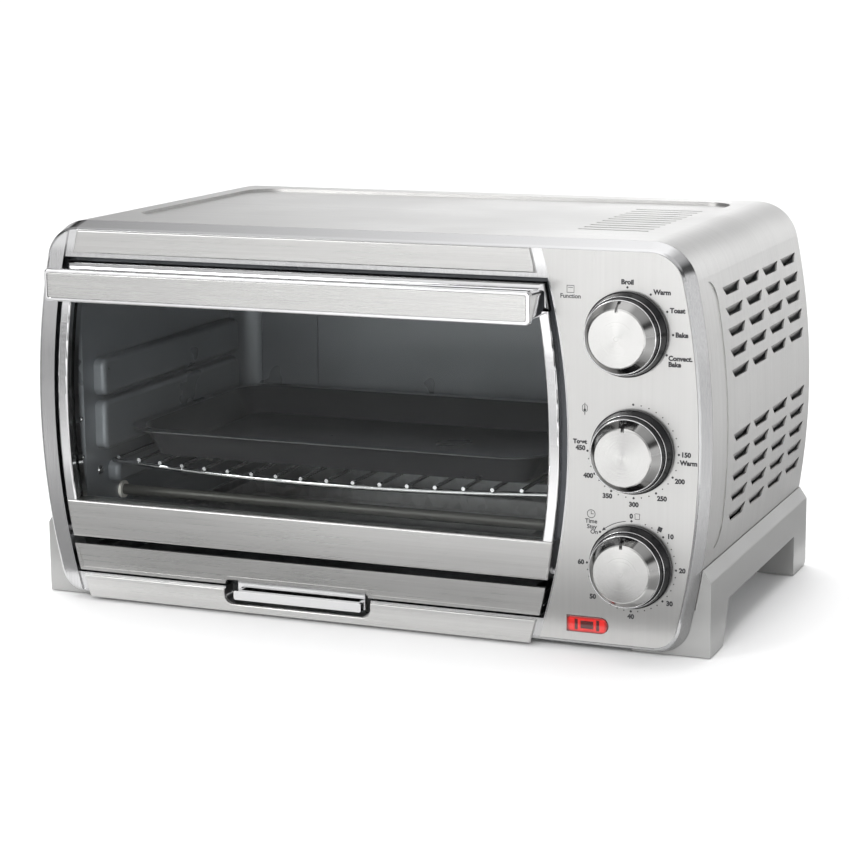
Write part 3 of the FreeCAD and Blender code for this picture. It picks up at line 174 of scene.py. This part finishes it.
class Finish(Wiring):
    """A material with one principled shader."""

    def __init__(self, name, colour, metal=0.0, rough=0.4, **sockets):
        self.material = bpy.data.materials.new(name)
        self.material.use_nodes = True
        super().__init__(self.material.node_tree)
        self.output = self.add("ShaderNodeOutputMaterial")
        self.shader = self.add("ShaderNodeBsdfPrincipled")
        self.link(self.shader.outputs[0], self.output.inputs[0])
        self.set("Base Color", (*colour, 1))
        self.set("Metallic", metal)
        self.set("Roughness", rough)
        for key, value in sockets.items():
            self.set(key.replace("_", " "), value)

    def set(self, socket, value):
        self.shader.inputs[socket].default_value = value

    def colour(self, socket):
        self.link(socket, self.shader.inputs["Base Color"])

    def rough(self, socket):
        self.link(socket, self.shader.inputs["Roughness"])

    def bump(self, height, distance):
        node = self.add("ShaderNodeBump")
        node.inputs["Distance"].default_value = distance
        self.link(height, node.inputs["Height"])
        self.link(node.outputs[0], self.shader.inputs["Normal"])


def tint(colour, factor):
    """The colour made lighter or darker."""
    return tuple(min(1.0, c * factor) for c in colour)


# how closely a brushed sheet's scratches and broader streaks are packed per metre, by the way they run
GRAIN = {"x": (14, 2600, 2600), "z": (2600, 2600, 14), "wrap": (12, 2600, 12)}
STREAK = {"x": (3, 420, 420), "z": (420, 420, 3), "wrap": (3, 420, 3)}


def brushed(name, colour, along, rough=(0.24, 0.36), contrast=0.1, depth=0.00002):
    """Brushed sheet metal: fine scratches along one axis, broader streaks and faint smudges."""
    f = Finish(name, colour, metal=1.0)
    fine = f.noise(f.spread(GRAIN[along]), detail=3, rough=0.6)
    streak = f.noise(f.spread(STREAK[along]), detail=2)
    cloud = f.noise(f.place, scale=9, detail=3)
    shade = f.math("ADD", f.remap(fine, *USUAL, -0.5, 0.5), f.remap(streak, *USUAL, -0.35, 0.35))
    share = f.remap(shade, -0.8, 0.8, 0, 1)
    f.colour(f.blend(share, tint(colour, 1 - contrast), tint(colour, 1 + contrast)))
    worn = f.math("ADD", f.remap(fine, *USUAL, 0, 0.7), f.remap(cloud, 0.35, 0.65, 0, 0.3))
    f.rough(f.remap(worn, 0, 1, *rough))
    f.bump(fine, depth)
    return f.material


def polished(name, colour, rough=(0.05, 0.13), ripple=0.00012):
    """Bright plated metal: a clear mirror with faint ripples, haze and rub marks."""
    f = Finish(name, colour, metal=1.0)
    haze = f.noise(f.place, scale=35, detail=5, rough=0.6)
    rub = f.noise(f.spread((60, 900, 900)), detail=2)
    f.colour(f.blend(haze, tint(colour, 0.95), tint(colour, 1.03)))
    f.rough(f.remap(f.math("MULTIPLY", haze, rub), 0.12, 0.4, *rough))
    f.bump(f.noise(f.place, scale=22, detail=1), ripple)
    return f.material


def spangled(name, colour, rough=(0.34, 0.5)):
    """Zinc coated sheet with its faint crystal pattern."""
    f = Finish(name, colour, metal=1.0)
    crystal = f.cells(f.place, 150, "Color")
    level = f.axis("x", crystal)
    grit = f.noise(f.place, scale=900, detail=3)
    f.colour(f.blend(level, tint(colour, 0.86), tint(colour, 1.08)))
    f.rough(f.remap(level, 0, 1, *rough))
    f.bump(grit, 0.00002)
    return f.material


def enamel(name, colour, speck, rough=(0.22, 0.42), coat=0.35, shine=0.0):
    """Baked enamel: fine pale specks, a slight orange peel and a hard gloss."""
    f = Finish(name, colour, metal=shine, Coat_Weight=coat, Coat_Roughness=0.16)
    dots = f.remap(f.cells(f.place, 1400), 0.1, 0.34, 1, 0, smooth=True)
    kept_dots = f.remap(f.noise(f.place, scale=700, detail=1), 0.5, 0.62, 0, 1)
    cloud = f.noise(f.place, scale=14, detail=3)
    ground = f.blend(cloud, tint(colour, 0.8), tint(colour, 1.25))
    f.colour(f.blend(f.math("MULTIPLY", dots, kept_dots), ground, speck))
    f.rough(f.remap(cloud, *USUAL, *rough))
    peel = f.noise(f.place, scale=900, detail=2)
    f.bump(peel, 0.000006)
    return f.material


def moulded(name, colour, rough=(0.3, 0.42), grain=1500, depth=0.00003, **sockets):
    """Moulded plastic: a fine spark-eroded texture and slightly uneven gloss."""
    f = Finish(name, colour, **sockets)
    cloud = f.noise(f.place, scale=18, detail=3)
    f.colour(f.blend(cloud, tint(colour, 0.9), tint(colour, 1.1)))
    f.rough(f.remap(cloud, *USUAL, *rough))
    f.bump(f.noise(f.place, scale=grain, detail=2), depth)
    return f.material


LATHE = 2600.0                               # grooves per metre on a turned face
CAP_FLANK, CAP_FACE = -0.0027, -0.0031       # along Y from a cap's middle: flank behind, face in front


def spun(name, colour, centre):
    """Turned knob cap: rings round the spindle on its face, and a smoother cone behind it whose colour is
    painted darker, a painted dark reflection.
    """
    f = Finish(name, colour, metal=1.0)
    from_middle = f.spread((1, 1, 1), centre)
    radius = f.length(f.spread((1, 0, 1), centre))
    ring = f.add("ShaderNodeCombineXYZ")
    f.link(f.math("MULTIPLY", radius, LATHE), ring.inputs[0])
    f.link(f.math("MULTIPLY", f.axis("y"), LATHE), ring.inputs[1])
    fine = f.noise(ring.outputs[0], detail=3, rough=0.65)
    cloud = f.noise(f.place, scale=60, detail=2)
    flank_smooth_and_painted_dark = f.remap(f.axis("y", from_middle), CAP_FACE, CAP_FLANK, 0, 1)
    face_colour = f.blend(fine, tint(colour, 0.9), tint(colour, 1.08))
    # painted reflection: the cone side's colour is painted down to 0.62, standing in for the dark
    # surroundings its polish reflects; its smoother roughness is real
    f.colour(f.blend(flank_smooth_and_painted_dark, face_colour, tint(colour, 0.62)))
    face_rough = f.remap(f.math("ADD", fine, f.math("MULTIPLY", cloud, 0.4)), 0.4, 1.0, 0.18, 0.3)
    f.rough(f.math("MULTIPLY", face_rough, f.remap(flank_smooth_and_painted_dark, 0, 1, 1, 0.45)))
    f.bump(fine, 0.00001)
    f.set("Anisotropic", 0.75)
    tangent = f.add("ShaderNodeTangent")
    tangent.direction_type = "RADIAL"
    tangent.axis = "Y"
    f.link(tangent.outputs[0], f.shader.inputs["Tangent"])
    return f.material


STEEL = (0.57, 0.567, 0.558)
BRIGHT = (0.72, 0.72, 0.725)


BRUSHED_TO, CLEAR_FROM = 0.252, 0.262        # heights between which the bezel's brushed grain, and the darker colour painted on it as a painted reflection, fade out


def bezel_finish():
    """Polished surround, brushed upright below its top edge, where its colour is also painted darker as a
    painted dark reflection.
    """
    f = Finish("bezel_metal_look", BRIGHT, metal=1.0)
    fine = f.noise(f.spread(GRAIN["z"]), detail=3, rough=0.6)
    haze = f.noise(f.place, scale=35, detail=4)
    level = f.remap(f.axis("z"), BRUSHED_TO, CLEAR_FROM, 1, 0, smooth=True)
    brushing_and_painted_reflection = f.math("MULTIPLY", level, f.remap(fine, *USUAL, 0.4, 1))
    # painted reflection: the brushed part's colour is painted down to 0.66 of the bright metal, standing in
    # for a darker reflection; the brushing itself is real
    f.colour(f.blend(brushing_and_painted_reflection, tint(BRIGHT, 0.98), tint(BRIGHT, 0.66)))
    f.rough(f.math("ADD", f.remap(haze, *USUAL, 0.07, 0.12), f.math("MULTIPLY", brushing_and_painted_reflection, 0.14)))
    f.bump(f.math("MULTIPLY", fine, level), 0.000015)
    return f.material


# what shows through the lamp cover: half sizes from its middle, each with the range over which it fades
LAMP_X, LAMP_Z = (0.0042, 0.0048), (0.0024, 0.003)
RIB_INNER, RIB_OUTER, RIB_Z = (0.0062, 0.0066), (0.0084, 0.0088), (0.0034, 0.0039)
RIM_X, RIM_Z, RIM_DARK = (0.0118, 0.0138), (0.0036, 0.0052), 0.85
LENS_DEEP, LENS_CLEAR, LENS_DARK = (0.3, 0.004, 0.004), (0.8, 0.02, 0.015), (0.06, 0.004, 0.004)


def lens_finish():
    """Red lamp cover: a deep clear red with the dark lamp and its ribs seen through it."""
    centre = MIDDLE["indicator_lens"]
    f = Finish("red_lens_look", (0.62, 0.012, 0.01), rough=0.08, Coat_Weight=1.0, Coat_Roughness=0.04,
               Specular_IOR_Level=0.6)
    x = f.math("ABSOLUTE", f.axis("x", f.spread((1, 1, 1), centre)))
    z = f.math("ABSOLUTE", f.axis("z", f.spread((1, 1, 1), centre)))
    block = f.math("MULTIPLY", f.remap(x, *LAMP_X, 1, 0), f.remap(z, *LAMP_Z, 1, 0))
    rib = f.math("MULTIPLY", f.remap(x, *RIB_INNER, 0, 1), f.remap(x, *RIB_OUTER, 1, 0))
    rib = f.math("MULTIPLY", rib, f.remap(z, *RIB_Z, 1, 0))
    rim = f.math("ADD", f.remap(x, *RIM_X, 0, RIM_DARK), f.remap(z, *RIM_Z, 0, RIM_DARK))
    dark = f.math("MINIMUM", f.math("ADD", f.math("ADD", block, rib), rim), 1.0)
    glow = f.noise(f.spread((90, 90, 260), centre), detail=2)
    f.colour(f.blend(dark, f.blend(glow, LENS_DEEP, LENS_CLEAR), LENS_DARK))
    f.bump(f.noise(f.place, scale=500, detail=1), 0.00002)
    return f.material


def pane_finish():
    """Clear tempered glass that lamps shine through, with a trace of haze."""
    material = bpy.data.materials.new("door_glass_look")
    material.use_nodes = True
    w = Wiring(material.node_tree)
    output = w.add("ShaderNodeOutputMaterial")
    mix = w.add("ShaderNodeMixShader")
    clear = w.add("ShaderNodeBsdfTransparent")
    clear.inputs["Color"].default_value = (0.955, 0.965, 0.962, 1)
    shine = w.add("ShaderNodeBsdfGlossy")
    shine.inputs["Color"].default_value = (0.9, 0.9, 0.9, 1)
    fresnel = w.add("ShaderNodeFresnel")
    fresnel.inputs["IOR"].default_value = 1.22
    smear = w.noise(w.place, scale=26, detail=4)
    w.link(w.remap(smear, 0.35, 0.7, 0.01, 0.07), shine.inputs["Roughness"])
    for slot, shader in enumerate((fresnel, clear, shine)):
        w.link(shader.outputs[0], mix.inputs[slot])
    w.link(mix.outputs[0], output.inputs[0])
    return material


def ink_finish():
    """Dark screen printing, slightly uneven."""
    f = Finish("printing_look", (0.02, 0.02, 0.022))
    press = f.noise(f.place, scale=1600, detail=2)
    f.colour(f.blend(press, (0.012, 0.012, 0.014), (0.035, 0.035, 0.038)))
    f.rough(f.remap(press, *USUAL, 0.4, 0.6))
    return f.material


LOOKS = {
    "housing": brushed("housing_steel_look", STEEL, "wrap", rough=(0.26, 0.4), contrast=0.09),
    "plate": brushed("plate_steel_look", STEEL, "x", contrast=0.07),
    "panel": brushed("panel_steel_look", STEEL, "z", rough=(0.27, 0.35), contrast=0.03),
    "handle": brushed("handle_steel_look", tint(STEEL, 1.04), "x", rough=(0.2, 0.32), contrast=0.08),
    "bezel": bezel_finish(),
    "polished": polished("polished_metal_look", BRIGHT),
    "wire": polished("rack_wire_look", tint(BRIGHT, 0.95), rough=(0.08, 0.18)),
    "cover": spangled("cover_steel_look", (0.55, 0.56, 0.57)),
    "tray": spangled("tray_sheet_look", (0.6, 0.6, 0.6), rough=(0.28, 0.42)),
    "pin": brushed("pin_steel_look", (0.6, 0.6, 0.62), "x", rough=(0.22, 0.34)),
    "fan": brushed("fan_metal_look", (0.65, 0.65, 0.65), "z", rough=(0.3, 0.42)),
    "heater": enamel("heater_sheath_look", (0.11, 0.108, 0.1), (0.2, 0.19, 0.18), rough=(0.35, 0.5), coat=0.0,
                     shine=0.6),
    "ceramic": moulded("insulator_ceramic_look", (0.78, 0.75, 0.7), rough=(0.45, 0.6)),
    "liner": enamel("liner_enamel_look", (0.21, 0.22, 0.235), (0.27, 0.28, 0.295), rough=(0.26, 0.36),
                    coat=0.1, shine=0.45),
    "pan": enamel("pan_enamel_look", (0.02, 0.02, 0.021), (0.09, 0.09, 0.09), rough=(0.26, 0.38), coat=0.2),
    "skirt": moulded("knob_plastic_look", (0.008, 0.008, 0.009), rough=(0.2, 0.3), depth=0.00001,
                     Specular_IOR_Level=0.35),
    "foot": moulded("foot_plastic_look", (0.36, 0.36, 0.355), rough=(0.3, 0.4), metal=0.55, grain=1900,
                    depth=0.00004),
    "black": moulded("black_plastic_look", (0.02, 0.02, 0.021)),
    "rubber": moulded("pad_rubber_look", (0.03, 0.03, 0.03), rough=(0.7, 0.9)),
    "lens": lens_finish(),
    "glass": pane_finish(),
    "ink": ink_finish(),
}
BY_SLOT = {
    "housing_steel": "housing", "cover_steel": "cover", "bezel_metal": "bezel", "plate_steel": "plate",
    "polished_metal": "polished", "pin_steel": "pin", "knob_plastic": "skirt", "foot_plastic": "foot",
    "black_plastic": "black", "red_lens": "lens", "pad_rubber": "rubber", "door_glass": "glass",
    "liner_enamel": "liner", "heater_sheath": "heater", "insulator_ceramic": "ceramic", "rack_wire": "wire",
    "pan_enamel": "pan", "tray_sheet": "tray", "fan_metal": "fan",
}
BY_NODE = {"control_panel": "panel", "handle_insert": "handle"}
CAP_TINT = 1.12

for name, node in nodes.items():
    for place in node.material_slots:
        kind = place.material.name
        if kind == "knob_metal":
            place.material = spun(name + "_look", tint(STEEL, CAP_TINT), MIDDLE[name])
        else:
            place.material = LOOKS[BY_NODE.get(name, BY_SLOT[kind])]


# ---------------------------------------------------------------- printing on the panel

INK_PROUD = 0.00005                          # metres the ink stands off the panel
BOLD, LIGHT = 0.00024, 0.0001                # metres the lettering's outline is fattened by
TEXT = 4.35
SMALL_TEXT = TEXT - 0.3
SMALL_DOT, LARGE_DOT = 0.45, 0.78
THIN = 0.35                                  # width of a drawn line


def mesh_object(name, mesh, look, body):
    """Puts a mesh in the scene with one look, riding on a body."""
    piece = bpy.data.objects.new(name, mesh)
    bpy.context.scene.collection.objects.link(piece)
    mesh.materials.clear()
    mesh.materials.append(LOOKS[look])
    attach(piece, body)
    return piece


def add_text(target, words, x, z, size, align="LEFT", bold=BOLD):
    """Adds flat lettering to a mesh, its middle line at z, facing forward."""
    curve = bpy.data.curves.new("words", "FONT")
    curve.body = words
    curve.size = size * MM
    curve.align_x = align
    curve.align_y = "CENTER"
    curve.offset = bold
    curve.resolution_u = 3
    curve.extrude = INK_PROUD / 2
    holder = bpy.data.objects.new("words", curve)
    bpy.context.scene.collection.objects.link(holder)
    bpy.context.view_layer.update()
    shape = bpy.data.meshes.new_from_object(holder.evaluated_get(bpy.context.evaluated_depsgraph_get()))
    upright = Matrix.Rotation(math.pi / 2, 4, "X")
    shape.transform(Matrix.Translation((x * MM, PANEL - INK_PROUD / 2, z * MM)) @ upright)
    target.from_mesh(shape)
    bpy.data.objects.remove(holder)
    bpy.data.curves.remove(curve)
    bpy.data.meshes.remove(shape)


def add_patch(target, points):
    """Adds a thin flat shape with the given outline in x and z, in millimetres."""
    front = [target.verts.new((x * MM, PANEL - INK_PROUD, z * MM)) for x, z in points]
    back = [target.verts.new((x * MM, PANEL, z * MM)) for x, z in points]
    target.faces.new(front)
    target.faces.new(list(reversed(back)))
    for i in range(len(points)):
        j = (i + 1) % len(points)
        target.faces.new((front[j], front[i], back[i], back[j]))


def circle(x, z, radius, sides):
    """Points round a circle, against the clock from +X."""
    turns = [2 * math.pi * i / sides for i in range(sides)]
    return [(x + radius * math.cos(a), z + radius * math.sin(a)) for a in turns]


def add_dot(target, x, z, radius):
    add_patch(target, circle(x, z, radius, 14))


def add_stroke(target, points, width, closed=False):
    """Adds a line of even width through the points."""
    path = [Vector(p) for p in points]
    spans = list(zip(path, path[1:] + path[:1])) if closed else list(zip(path, path[1:]))
    for a, b in spans:
        along = (b - a).normalized() * width / 2
        across = Vector((-along.y, along.x))
        corners = (a - along + across, a - along - across, b + along - across, b + along + across)
        add_patch(target, [tuple(corner) for corner in corners])


def around(x, z, radius, degrees):
    """Point at a clock angle, clockwise from the top as seen from the front."""
    a = math.radians(degrees)
    return x + radius * math.sin(a), z + radius * math.cos(a)


def knob_place(name):
    middle = MIDDLE[name + "_knob_skirt"]
    return middle.x / MM, middle.z / MM


def moved(points, x, z):
    return [(x + a, z + b) for a, b in points]


# places on the function dial from its spindle: word, its middle line and the dot it belongs to
FUNCTIONS = (
    ("Warm", (17.5, 27.9), (15.6, 26.3)),
    ("Toast", (28.5, 16.5), (26.7, 15.7)),
    ("Bake", (32.3, 0.9), (30.7, 0.9)),
    ("Convect.", (27.8, -14.4), (26.6, -12.4)),
    ("Bake", (27.8, -18.4), None),
)
TITLE_AT = (-38.5, 22.9)
TITLE_BOX = ((-2.4, 7.0), (2.4, 7.0), (2.4, 2.4), (-2.4, 2.4))      # from the title, with a line in it
TITLE_LINE = ((-1.5, 5.7), (1.5, 5.7))
BROIL_WORD, BROIL_DOT = 33.6, 30.3


def print_function(target):
    x, z = knob_place("function")
    title_x, title_z = x + TITLE_AT[0], z + TITLE_AT[1]
    add_text(target, "Function", title_x, title_z, SMALL_TEXT, "CENTER", LIGHT)
    add_stroke(target, moved(TITLE_BOX, title_x, title_z), THIN, closed=True)
    add_stroke(target, moved(TITLE_LINE, title_x, title_z), THIN)
    for words, (right, up), dot in FUNCTIONS:
        add_text(target, words, x + right, z + up, TEXT)
        if dot:
            add_dot(target, x + dot[0], z + dot[1], LARGE_DOT)
    add_text(target, "Broil", x, z + BROIL_WORD, TEXT, "CENTER")
    add_dot(target, x, z + BROIL_DOT, LARGE_DOT)


DIAL_RING = 31.0
WARM_STEP = 10                               # degrees between the dots up to 150
HEAT_STEP = 29.5 / 3                         # degrees between the dots from 150 to 450
HEATS = ((200, 120), (250, 148), (300, 178.5), (350, 209), (400, 239))
PROBE_AT = (-32.9, 26.5)                     # small drawing of a probe between two brackets


def print_temperature(target):
    x, z = knob_place("temperature")
    for number in range(10):
        size = LARGE_DOT if number in (0, 9) else SMALL_DOT
        add_dot(target, *around(x, z, DIAL_RING, WARM_STEP * number), size)
    for number in range(1, 19):
        size = SMALL_DOT if number % 3 else LARGE_DOT
        add_dot(target, *around(x, z, DIAL_RING, 90 + HEAT_STEP * number), size)
    add_text(target, "150", x + DIAL_RING + 1.5, z, TEXT)
    add_text(target, "Warm", x + DIAL_RING + 0.9, z - 5.3, TEXT)
    for value, angle in HEATS:
        right, up = around(x, z, DIAL_RING + 4.4, angle)
        add_text(target, str(value), right + (1.2 if angle < 170 else 0), up, TEXT, "CENTER")
    add_text(target, "450", x - DIAL_RING - 1.5, z, TEXT, "RIGHT")
    add_text(target, "Toast", x - DIAL_RING - 0.5, z + 4.2, SMALL_TEXT, "RIGHT")
    x, z = x + PROBE_AT[0], z + PROBE_AT[1]
    for points in (((1.7, -1.2), (1.7, 1.6), (0.7, 2.6)), ((1.7, -1.2), (0.7, -2.2))):
        for side in (-1, 1):
            add_stroke(target, [(x + side * a, z + b) for a, b in points], THIN)
    add_stroke(target, [(x, z - 4.0), (x, z + 3.4)], 0.5)
    add_dot(target, x, z - 1.0, 0.9)


TIMER_RING = 30.5
MINUTE_STEP = 9                              # degrees for two minutes
MINUTES = ((10, 50, 4.0), (20, 90, 4.2), (30, 131, 4.4), (40, 180, 3.6), (50, 229, 4.4), (60, 270, 4.2))
BREAD = ((-1.5, -1.7), (1.5, -1.7), (1.5, 0.7), (1.8, 1.5), (1.2, 2.0), (-1.2, 2.0), (-1.8, 1.5), (-1.5, 0.7))
SLICE = ((-1.5, -1.6), (1.5, -1.6), (1.5, 1.6), (-1.5, 1.6))
SLICE_TURN = math.radians(-20)
CLOCK_AT = (-27.7, 33.3)


def print_timer(target):
    x, z = knob_place("timer")
    for number in [n for n in range(31) if n != 1]:
        size = SMALL_DOT if number % 5 else LARGE_DOT
        add_dot(target, *around(x, z, TIMER_RING, MINUTE_STEP * number), size)
    add_dot(target, *around(x, z, TIMER_RING, -45), LARGE_DOT)
    for value, angle, out in MINUTES:
        add_text(target, str(value), *around(x, z, TIMER_RING + out, angle), TEXT, "CENTER")
    add_text(target, "0", x - 0.2, z + TIMER_RING + 3.2, TEXT, "CENTER")
    add_text(target, "Stay", x - 27.2, z + 24.6, SMALL_TEXT, "CENTER", LIGHT)
    add_text(target, "On", x - 25.6, z + 21.2, SMALL_TEXT, "CENTER", LIGHT)
    add_stroke(target, [around(x, z, TIMER_RING - 0.2, angle) for angle in range(-38, -7, 5)], 0.45)
    arrow_head = ((-0.2, -42), (0.9, -37), (-1.3, -37))
    add_patch(target, [around(x, z, TIMER_RING + out, angle) for out, angle in arrow_head])
    add_stroke(target, moved(BREAD, x + 3.9, z + TIMER_RING + 3.2), 0.32, closed=True)
    cos, sin = math.cos(SLICE_TURN), math.sin(SLICE_TURN)
    slice_turned = [(a * cos - b * sin, a * sin + b * cos) for a, b in SLICE]
    add_patch(target, moved(slice_turned, *around(x, z, TIMER_RING + 2.4, 36)))
    x, z = x + CLOCK_AT[0], z + CLOCK_AT[1]
    add_stroke(target, [around(x, z, 2.7, 15 * i) for i in range(24)], 0.4, closed=True)
    add_stroke(target, [(x, z + 1.9), (x, z), (x + 1.6, z)], 0.4)
    add_text(target, "Time", x, z - 5.0, SMALL_TEXT, "CENTER", LIGHT)


def make_printing(name, draw):
    target = bmesh.new()
    draw(target)
    mesh = bpy.data.meshes.new(name)
    target.to_mesh(mesh)
    target.free()
    return mesh_object(name, mesh, "ink", "root")


make_printing("function_legend", print_function)
make_printing("temperature_legend", print_temperature)
make_printing("timer_legend", print_timer)


# ---------------------------------------------------------------- bright rings on the knob skirts

def ring_mesh(name, centre, radius, wire, sides=96, section=8):
    """Thin wire ring round a spindle, facing forward."""
    target = bmesh.new()
    loops = []
    for i in range(sides):
        a = 2 * math.pi * i / sides
        loop = []
        for j in range(section):
            b = 2 * math.pi * j / section
            r = radius + wire * math.cos(b)
            loop.append(target.verts.new((centre.x + r * math.cos(a), centre.y + wire * math.sin(b),
                                          centre.z + r * math.sin(a))))
        loops.append(loop)
    for i in range(sides):
        for j in range(section):
            k, m = (i + 1) % sides, (j + 1) % section
            target.faces.new((loops[i][j], loops[i][m], loops[k][m], loops[k][j]))
    bmesh.ops.recalc_face_normals(target, faces=target.faces)
    mesh = bpy.data.meshes.new(name)
    target.to_mesh(mesh)
    target.free()
    for polygon in mesh.polygons:
        polygon.use_smooth = True
    return mesh


KNOB_RINGS = (("ring", 23.9, 0.1, 0.4), ("band", 25.5, 5.4, 0.3))   # name, radius, set back from cap, wire

for knob in ("function", "temperature", "timer"):
    middle = MIDDLE[knob + "_knob_cap"]
    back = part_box(knob + "_knob_cap")[1].y
    for label, radius, setback, wire in KNOB_RINGS:
        centre = Vector((middle.x, back + setback * MM, middle.z))
        name = knob + "_knob_" + label
        mesh_object(name, ring_mesh(name, centre, radius * MM, wire * MM), "polished", knob + "_knob")


# ---------------------------------------------------------------- floor and light

FLOOR_HALF = 90.0


def make_floor():
    """Plain pale floor, far wider than any view of it."""
    target = bmesh.new()
    signs = ((-1, -1), (1, -1), (1, 1), (-1, 1))
    target.faces.new([target.verts.new((x * FLOOR_HALF, y * FLOOR_HALF, 0)) for x, y in signs])
    mesh = bpy.data.meshes.new("floor")
    target.to_mesh(mesh)
    target.free()
    floor = bpy.data.objects.new("floor", mesh)
    bpy.context.scene.collection.objects.link(floor)
    f = Finish("floor_look", (0.9, 0.9, 0.9), rough=0.6, Specular_IOR_Level=0.3)
    cloud = f.noise(f.place, scale=3, detail=3)
    f.colour(f.blend(cloud, (0.885, 0.885, 0.885), (0.915, 0.915, 0.915)))
    mesh.materials.append(f.material)


def soft_light(name, place, aim, width, height, power, mirrored=True):
    """Oblong lamp; mirrored says whether shiny pieces reflect it."""
    data = bpy.data.lights.new(name, "AREA")
    data.shape = "RECTANGLE"
    data.size, data.size_y = width, height
    data.energy = power
    light = bpy.data.objects.new(name, data)
    bpy.context.scene.collection.objects.link(light)
    light.location = place
    light.rotation_mode = "QUATERNION"
    light.rotation_quaternion = (Vector(aim) - Vector(place)).to_track_quat("-Z", "Y")
    light.visible_glossy = mirrored


# brightness of the sky by height, from straight down (0) over the skyline (0.5) to straight up (1)
SKY = ((0.0, 1.0), (0.5, 1.5), (0.62, 1.5), (0.67, 0.15), (0.73, 0.12), (0.80, 0.8), (0.9, 1.0), (1.0, 1.0))
SKY_LEFT = (-0.55, -0.3, 0.36, 1.35)         # darker on the left: from and to in x, brightness there
SKY_RIGHT = (0.1, 0.35, 1.0, 0.5)            # and on the right
SKY_BLUE = 1.005


def make_world():
    """Pale studio: white at the skyline, a darker band above it and soft white overhead."""
    world = bpy.data.worlds.new("studio")
    world.use_nodes = True
    w = Wiring(world.node_tree, "Generated")
    output = w.add("ShaderNodeOutputWorld")
    background = w.add("ShaderNodeBackground")
    ramp = w.add("ShaderNodeValToRGB")
    for element, (position, level) in zip(ramp.color_ramp.elements, (SKY[0], SKY[-1])):
        element.position = position
    for position, level in SKY[1:-1]:
        ramp.color_ramp.elements.new(position)
    for element, (position, level) in zip(ramp.color_ramp.elements, SKY):
        element.color = (level, level, level * SKY_BLUE, 1)
    w.link(w.remap(w.axis("z"), -1, 1, 0, 1), ramp.inputs[0])
    across = w.axis("x")
    w.link(ramp.outputs[0], background.inputs[0])
    w.link(w.math("MULTIPLY", w.remap(across, *SKY_LEFT), w.remap(across, *SKY_RIGHT)), background.inputs[1])
    w.link(background.outputs[0], output.inputs[0])
    bpy.context.scene.world = world


def even_light(name, aim, power, spread):
    """Broad lamp far overhead, which lights the whole floor alike."""
    data = bpy.data.lights.new(name, "SUN")
    data.energy = power
    data.angle = math.radians(spread)
    light = bpy.data.objects.new(name, data)
    bpy.context.scene.collection.objects.link(light)
    light.rotation_mode = "QUATERNION"
    light.rotation_quaternion = Vector(aim).to_track_quat("-Z", "Y")
    light.visible_glossy = False


CARD_HEIGHT = 0.01


def reflected_card(name, low, high, shade):
    """Studio flag lying on the floor and seen only in reflections; shade() wires how dense it is."""
    corners = [(x, y, CARD_HEIGHT) for x, y in (low, (high[0], low[1]), high, (low[0], high[1]))]
    mesh = bpy.data.meshes.new(name)
    mesh.from_pydata(corners, [], [(0, 1, 2, 3)])
    card = bpy.data.objects.new(name, mesh)
    bpy.context.scene.collection.objects.link(card)
    f = Finish(name + "_look", (0.1, 0.1, 0.1), rough=0.9, Specular_IOR_Level=0.0)
    patchy = f.remap(f.noise(f.place, scale=2), *USUAL, 0.94, 1.0)
    f.link(f.math("MULTIPLY", shade(f), patchy), f.shader.inputs["Alpha"])
    mesh.materials.append(f.material)
    card.visible_camera = card.visible_diffuse = card.visible_shadow = False


def front_shade(f):
    """Even in front of the panel, densest at the left and close to the oven, clear far out."""
    x, y = f.axis("x"), f.axis("y")
    far_edge = f.remap(y, -1.34, -1.14, 0.0, 0.6, smooth=True)
    even = f.math("MINIMUM", far_edge, f.remap(y, -0.75, -0.48, 0.6, 0.06))
    near = f.remap(y, -0.39, -0.29, 0.0, 0.8, smooth=True)
    corner = f.math("MULTIPLY", f.remap(y, -0.65, -0.42, 0.0, 0.78), f.remap(x, -0.24, -0.08, 1.0, 0.0))
    far_left = f.remap(y, -1.45, -1.25, 0.4, 1.0)
    left = f.math("MULTIPLY", f.remap(x, -0.8, -0.16, 0.9, 0.0, smooth=True), far_left)
    return f.math("MAXIMUM", f.math("MAXIMUM", even, near), f.math("MAXIMUM", corner, left))


def right_shade(f):
    """Densest close to the oven's side."""
    return f.remap(f.axis("x"), 0.3, 0.55, 0.66, 0.3, smooth=True)


make_floor()
make_world()
reflected_card("flag_front", (-2.6, -2.6), (0.6, -0.16), front_shade)
reflected_card("flag_right", (0.26, -0.16), (4.0, 4.0), right_shade)
even_light("ceiling", aim=(0.28, -0.38, -1), power=1.95, spread=60)
soft_light("key", (-1.3, -1.9, 1.2), aim=(0, 0, 0.15), width=0.9, height=0.7, power=15)
soft_light("mouth", (0.2, -2.2, 1.1), aim=(-0.05, 0, 0.14), width=0.8, height=0.5, power=25, mirrored=False)
soft_light("mouth_right", (0.9, -1.6, 0.5), aim=(-0.2, 0.05, 0.13), width=0.4, height=0.4, power=6,
           mirrored=False)
bpy.context.scene.view_settings.view_transform = "Standard"
